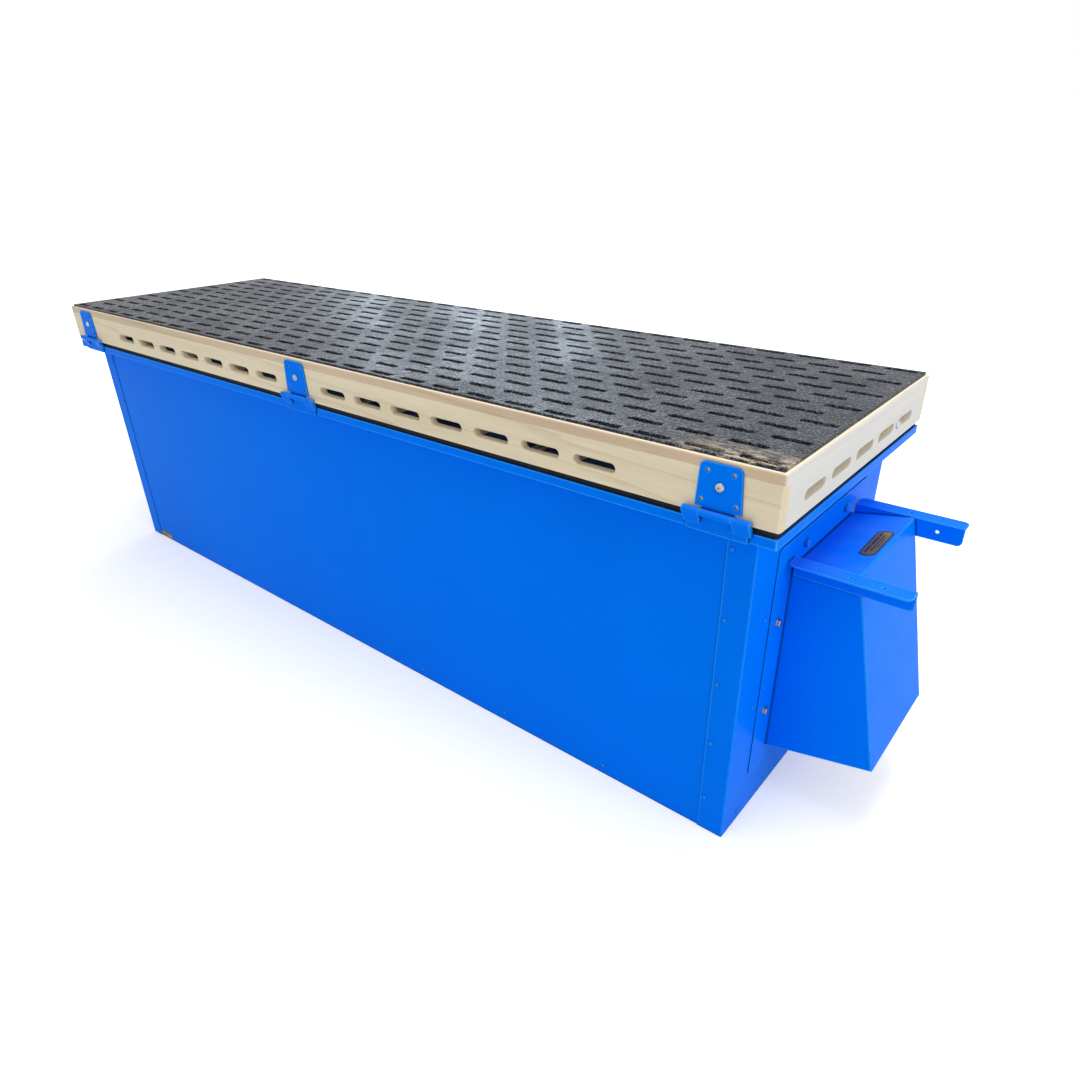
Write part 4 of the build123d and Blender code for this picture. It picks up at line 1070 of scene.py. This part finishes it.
def makeMedia(number, look):
    low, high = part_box(f"filter_media_{number}")
    sizeX, sizeY, sizeZ = high - low
    wall, sway, columns = look["thick"], look["sway"], 2 * look["pleats"]
    bpy.ops.object.select_all(action="DESELECT")
    bpy.ops.mesh.primitive_grid_add(
        x_subdivisions=columns, y_subdivisions=look["rows"], size=1, location=(low + high) / 2
    )
    cloth = bpy.context.object
    cloth.name = f"pleated_cloth_{number}"
    cloth.scale = (sizeX - 2 * wall, sizeY - 2 * wall, 1)
    settle(cloth)
    step = (sizeX - 2 * wall) / columns
    fold = sizeZ / 2 - 1.6 * wall
    for vertex in cloth.data.vertices:
        column = round((vertex.co.x - low.x - wall) / step)
        if 0 < column < columns:
            vertex.co.x += noise.noise(Vector((column * 0.7, vertex.co.y * 9, number))) * sway
        up = 1 if column % 2 else -1
        vertex.co.z += up * (fold - abs(noise.noise(vertex.co * 30)) * sway)
    thicken = cloth.modifiers.new("cloth thickness", "SOLIDIFY")
    thicken.thickness = wall
    thicken.offset = 0
    applyModifiers(cloth)
    roundEdges(cloth, look["soft"], 2, 60)
    return smooth(finishPiece(cloth, "cabinet", "filter_cloth", filterCloth, f"filter_media_{number}"), 50)


for number in range(1, mediaLook["filters"] + 1):
    makeMedia(number, mediaLook)
print("filters made")

# foam gasket: a soft-edged strip round the rim
gasketLook = {"width": 0.030, "soft": 0.0040}


def makeGasket(look):
    low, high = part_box("rim_gasket")
    inset = Vector((look["width"], look["width"], -0.01))
    strip = addBlock("foam_gasket", low, high)
    cutAway(strip, addBlock("gasket hole", low + inset, high - inset))
    roundEdges(strip, look["soft"], 3, 40)
    return smooth(finishPiece(strip, "cabinet", "gasket_foam", foam, "rim_gasket"), 40)


makeGasket(gasketLook)
print("gasket made")

# camera, floor and lamps
cameraLook = {
    "place": (1.6086, -1.3781, 1.2264),
    "turn": (61.694, 0.744, 39.038),   # degrees
    "lens": 25.516,
    "sensor": 36,
    "shift": (-0.0083, 0.0226),
}


def makeCamera(look):
    bpy.ops.object.camera_add(location=look["place"], rotation=[radians(angle) for angle in look["turn"]])
    camera = bpy.context.object
    camera.data.sensor_width = look["sensor"]
    camera.data.lens = look["lens"]
    camera.data.shift_x, camera.data.shift_y = look["shift"]
    camera.data.clip_start = 0.02
    camera.data.clip_end = 200
    bpy.context.scene.camera = camera


makeCamera(cameraLook)

# the floor is lifted to white with distance, and keeps the shadow near the bench
studioLook = {"sky": 0.47, "floor": (0.90, 0.90, 0.90, 1), "near": 0.34, "far": 1.0, "fade": (1.2, 3.0)}


def makeStudio(look):
    bpy.ops.object.select_all(action="DESELECT")
    bpy.ops.mesh.primitive_circle_add(vertices=64, radius=60, fill_type="NGON", location=(0, 0, 0))
    floor = bpy.context.object
    floor.name = "studio_floor"
    material, tree, shader, place, facing = newMaterial("studio floor", roughness=0.9, specular=0.0)
    shader.inputs["Base Color"].default_value = look["floor"]
    shader.inputs["Emission Color"].default_value = (1, 1, 1, 1)
    path = tree.nodes.new("ShaderNodeLightPath")
    seen = mathOf(tree, "MAXIMUM", path.outputs["Is Camera Ray"], path.outputs["Is Glossy Ray"])
    away = tree.nodes.new("ShaderNodeVectorMath")
    away.operation = "LENGTH"
    tree.links.new(place, away.inputs[0])
    lift = spread(tree, away.outputs["Value"], *look["fade"], look["near"], look["far"])
    tree.links.new(times(tree, seen, lift), shader.inputs["Emission Strength"])
    floor.data.materials.append(material)
    world = bpy.data.worlds.new("studio")
    bpy.context.scene.world = world
    world.use_nodes = True
    tree = world.node_tree
    sky = tree.nodes["Background"]
    sky.inputs["Color"].default_value = (1, 1, 1, 1)
    path = tree.nodes.new("ShaderNodeLightPath")
    seen = mathOf(tree, "MAXIMUM", path.outputs["Is Camera Ray"], path.outputs["Is Glossy Ray"])
    seen = mathOf(tree, "MAXIMUM", seen, path.outputs["Is Transmission Ray"])
    tree.links.new(spread(tree, seen, 0, 1, look["sky"], 1.0), sky.inputs["Strength"])


makeStudio(studioLook)

# soft lamps for the room, and narrow cool ones that streak the mat
white, cool = (1, 1, 1), (0.72, 0.87, 1.0)
lampLooks = {
    "ceiling": {
        "place": (0.9, 0.1, 3.4), "aim": (0.3, 0, 0.6), "size": (3.2, 1.6), "tint": white, "power": 62,
    },
    "right wall": {
        "place": (4.2, -0.5, 2.1), "aim": (1.2, 0, 0.5), "size": (2.2, 1.8), "tint": white, "power": 46,
    },
    "front wall": {
        "place": (-0.9, -4.2, 2.2), "aim": (-0.3, 0, 0.6), "size": (3.4, 1.2), "tint": white, "power": 26,
    },
    "left streak": {
        "place": (-3.9, 2.95, 2.0), "aim": (0.2, -0.2, 0.8), "size": (0.12, 2.6), "tint": cool, "power": 14,
    },
    "middle streak": {
        "place": (-3.2, 3.45, 2.0), "aim": (0.4, -0.1, 0.8), "size": (0.10, 2.6), "tint": cool, "power": 17,
    },
    "right streak": {
        "place": (-2.4, 3.85, 2.1), "aim": (0.6, -0.1, 0.8), "size": (0.10, 2.6), "tint": cool, "power": 17,
    },
}


def makeLamp(name, look):
    bpy.ops.object.light_add(type="AREA", location=look["place"])
    lamp = bpy.context.object
    lamp.name = "lamp " + name
    lamp.data.shape = "RECTANGLE"
    lamp.data.size, lamp.data.size_y = look["size"]
    lamp.data.energy = look["power"]
    lamp.data.color = look["tint"]
    lamp.visible_camera = False
    toward = Vector(look["aim"]) - Vector(look["place"])
    lamp.rotation_euler = toward.to_track_quat("-Z", "Y").to_euler()


for name, look in lampLooks.items():
    makeLamp(name, look)
bpy.context.scene.view_settings.view_transform = "Standard"
print("studio ready")
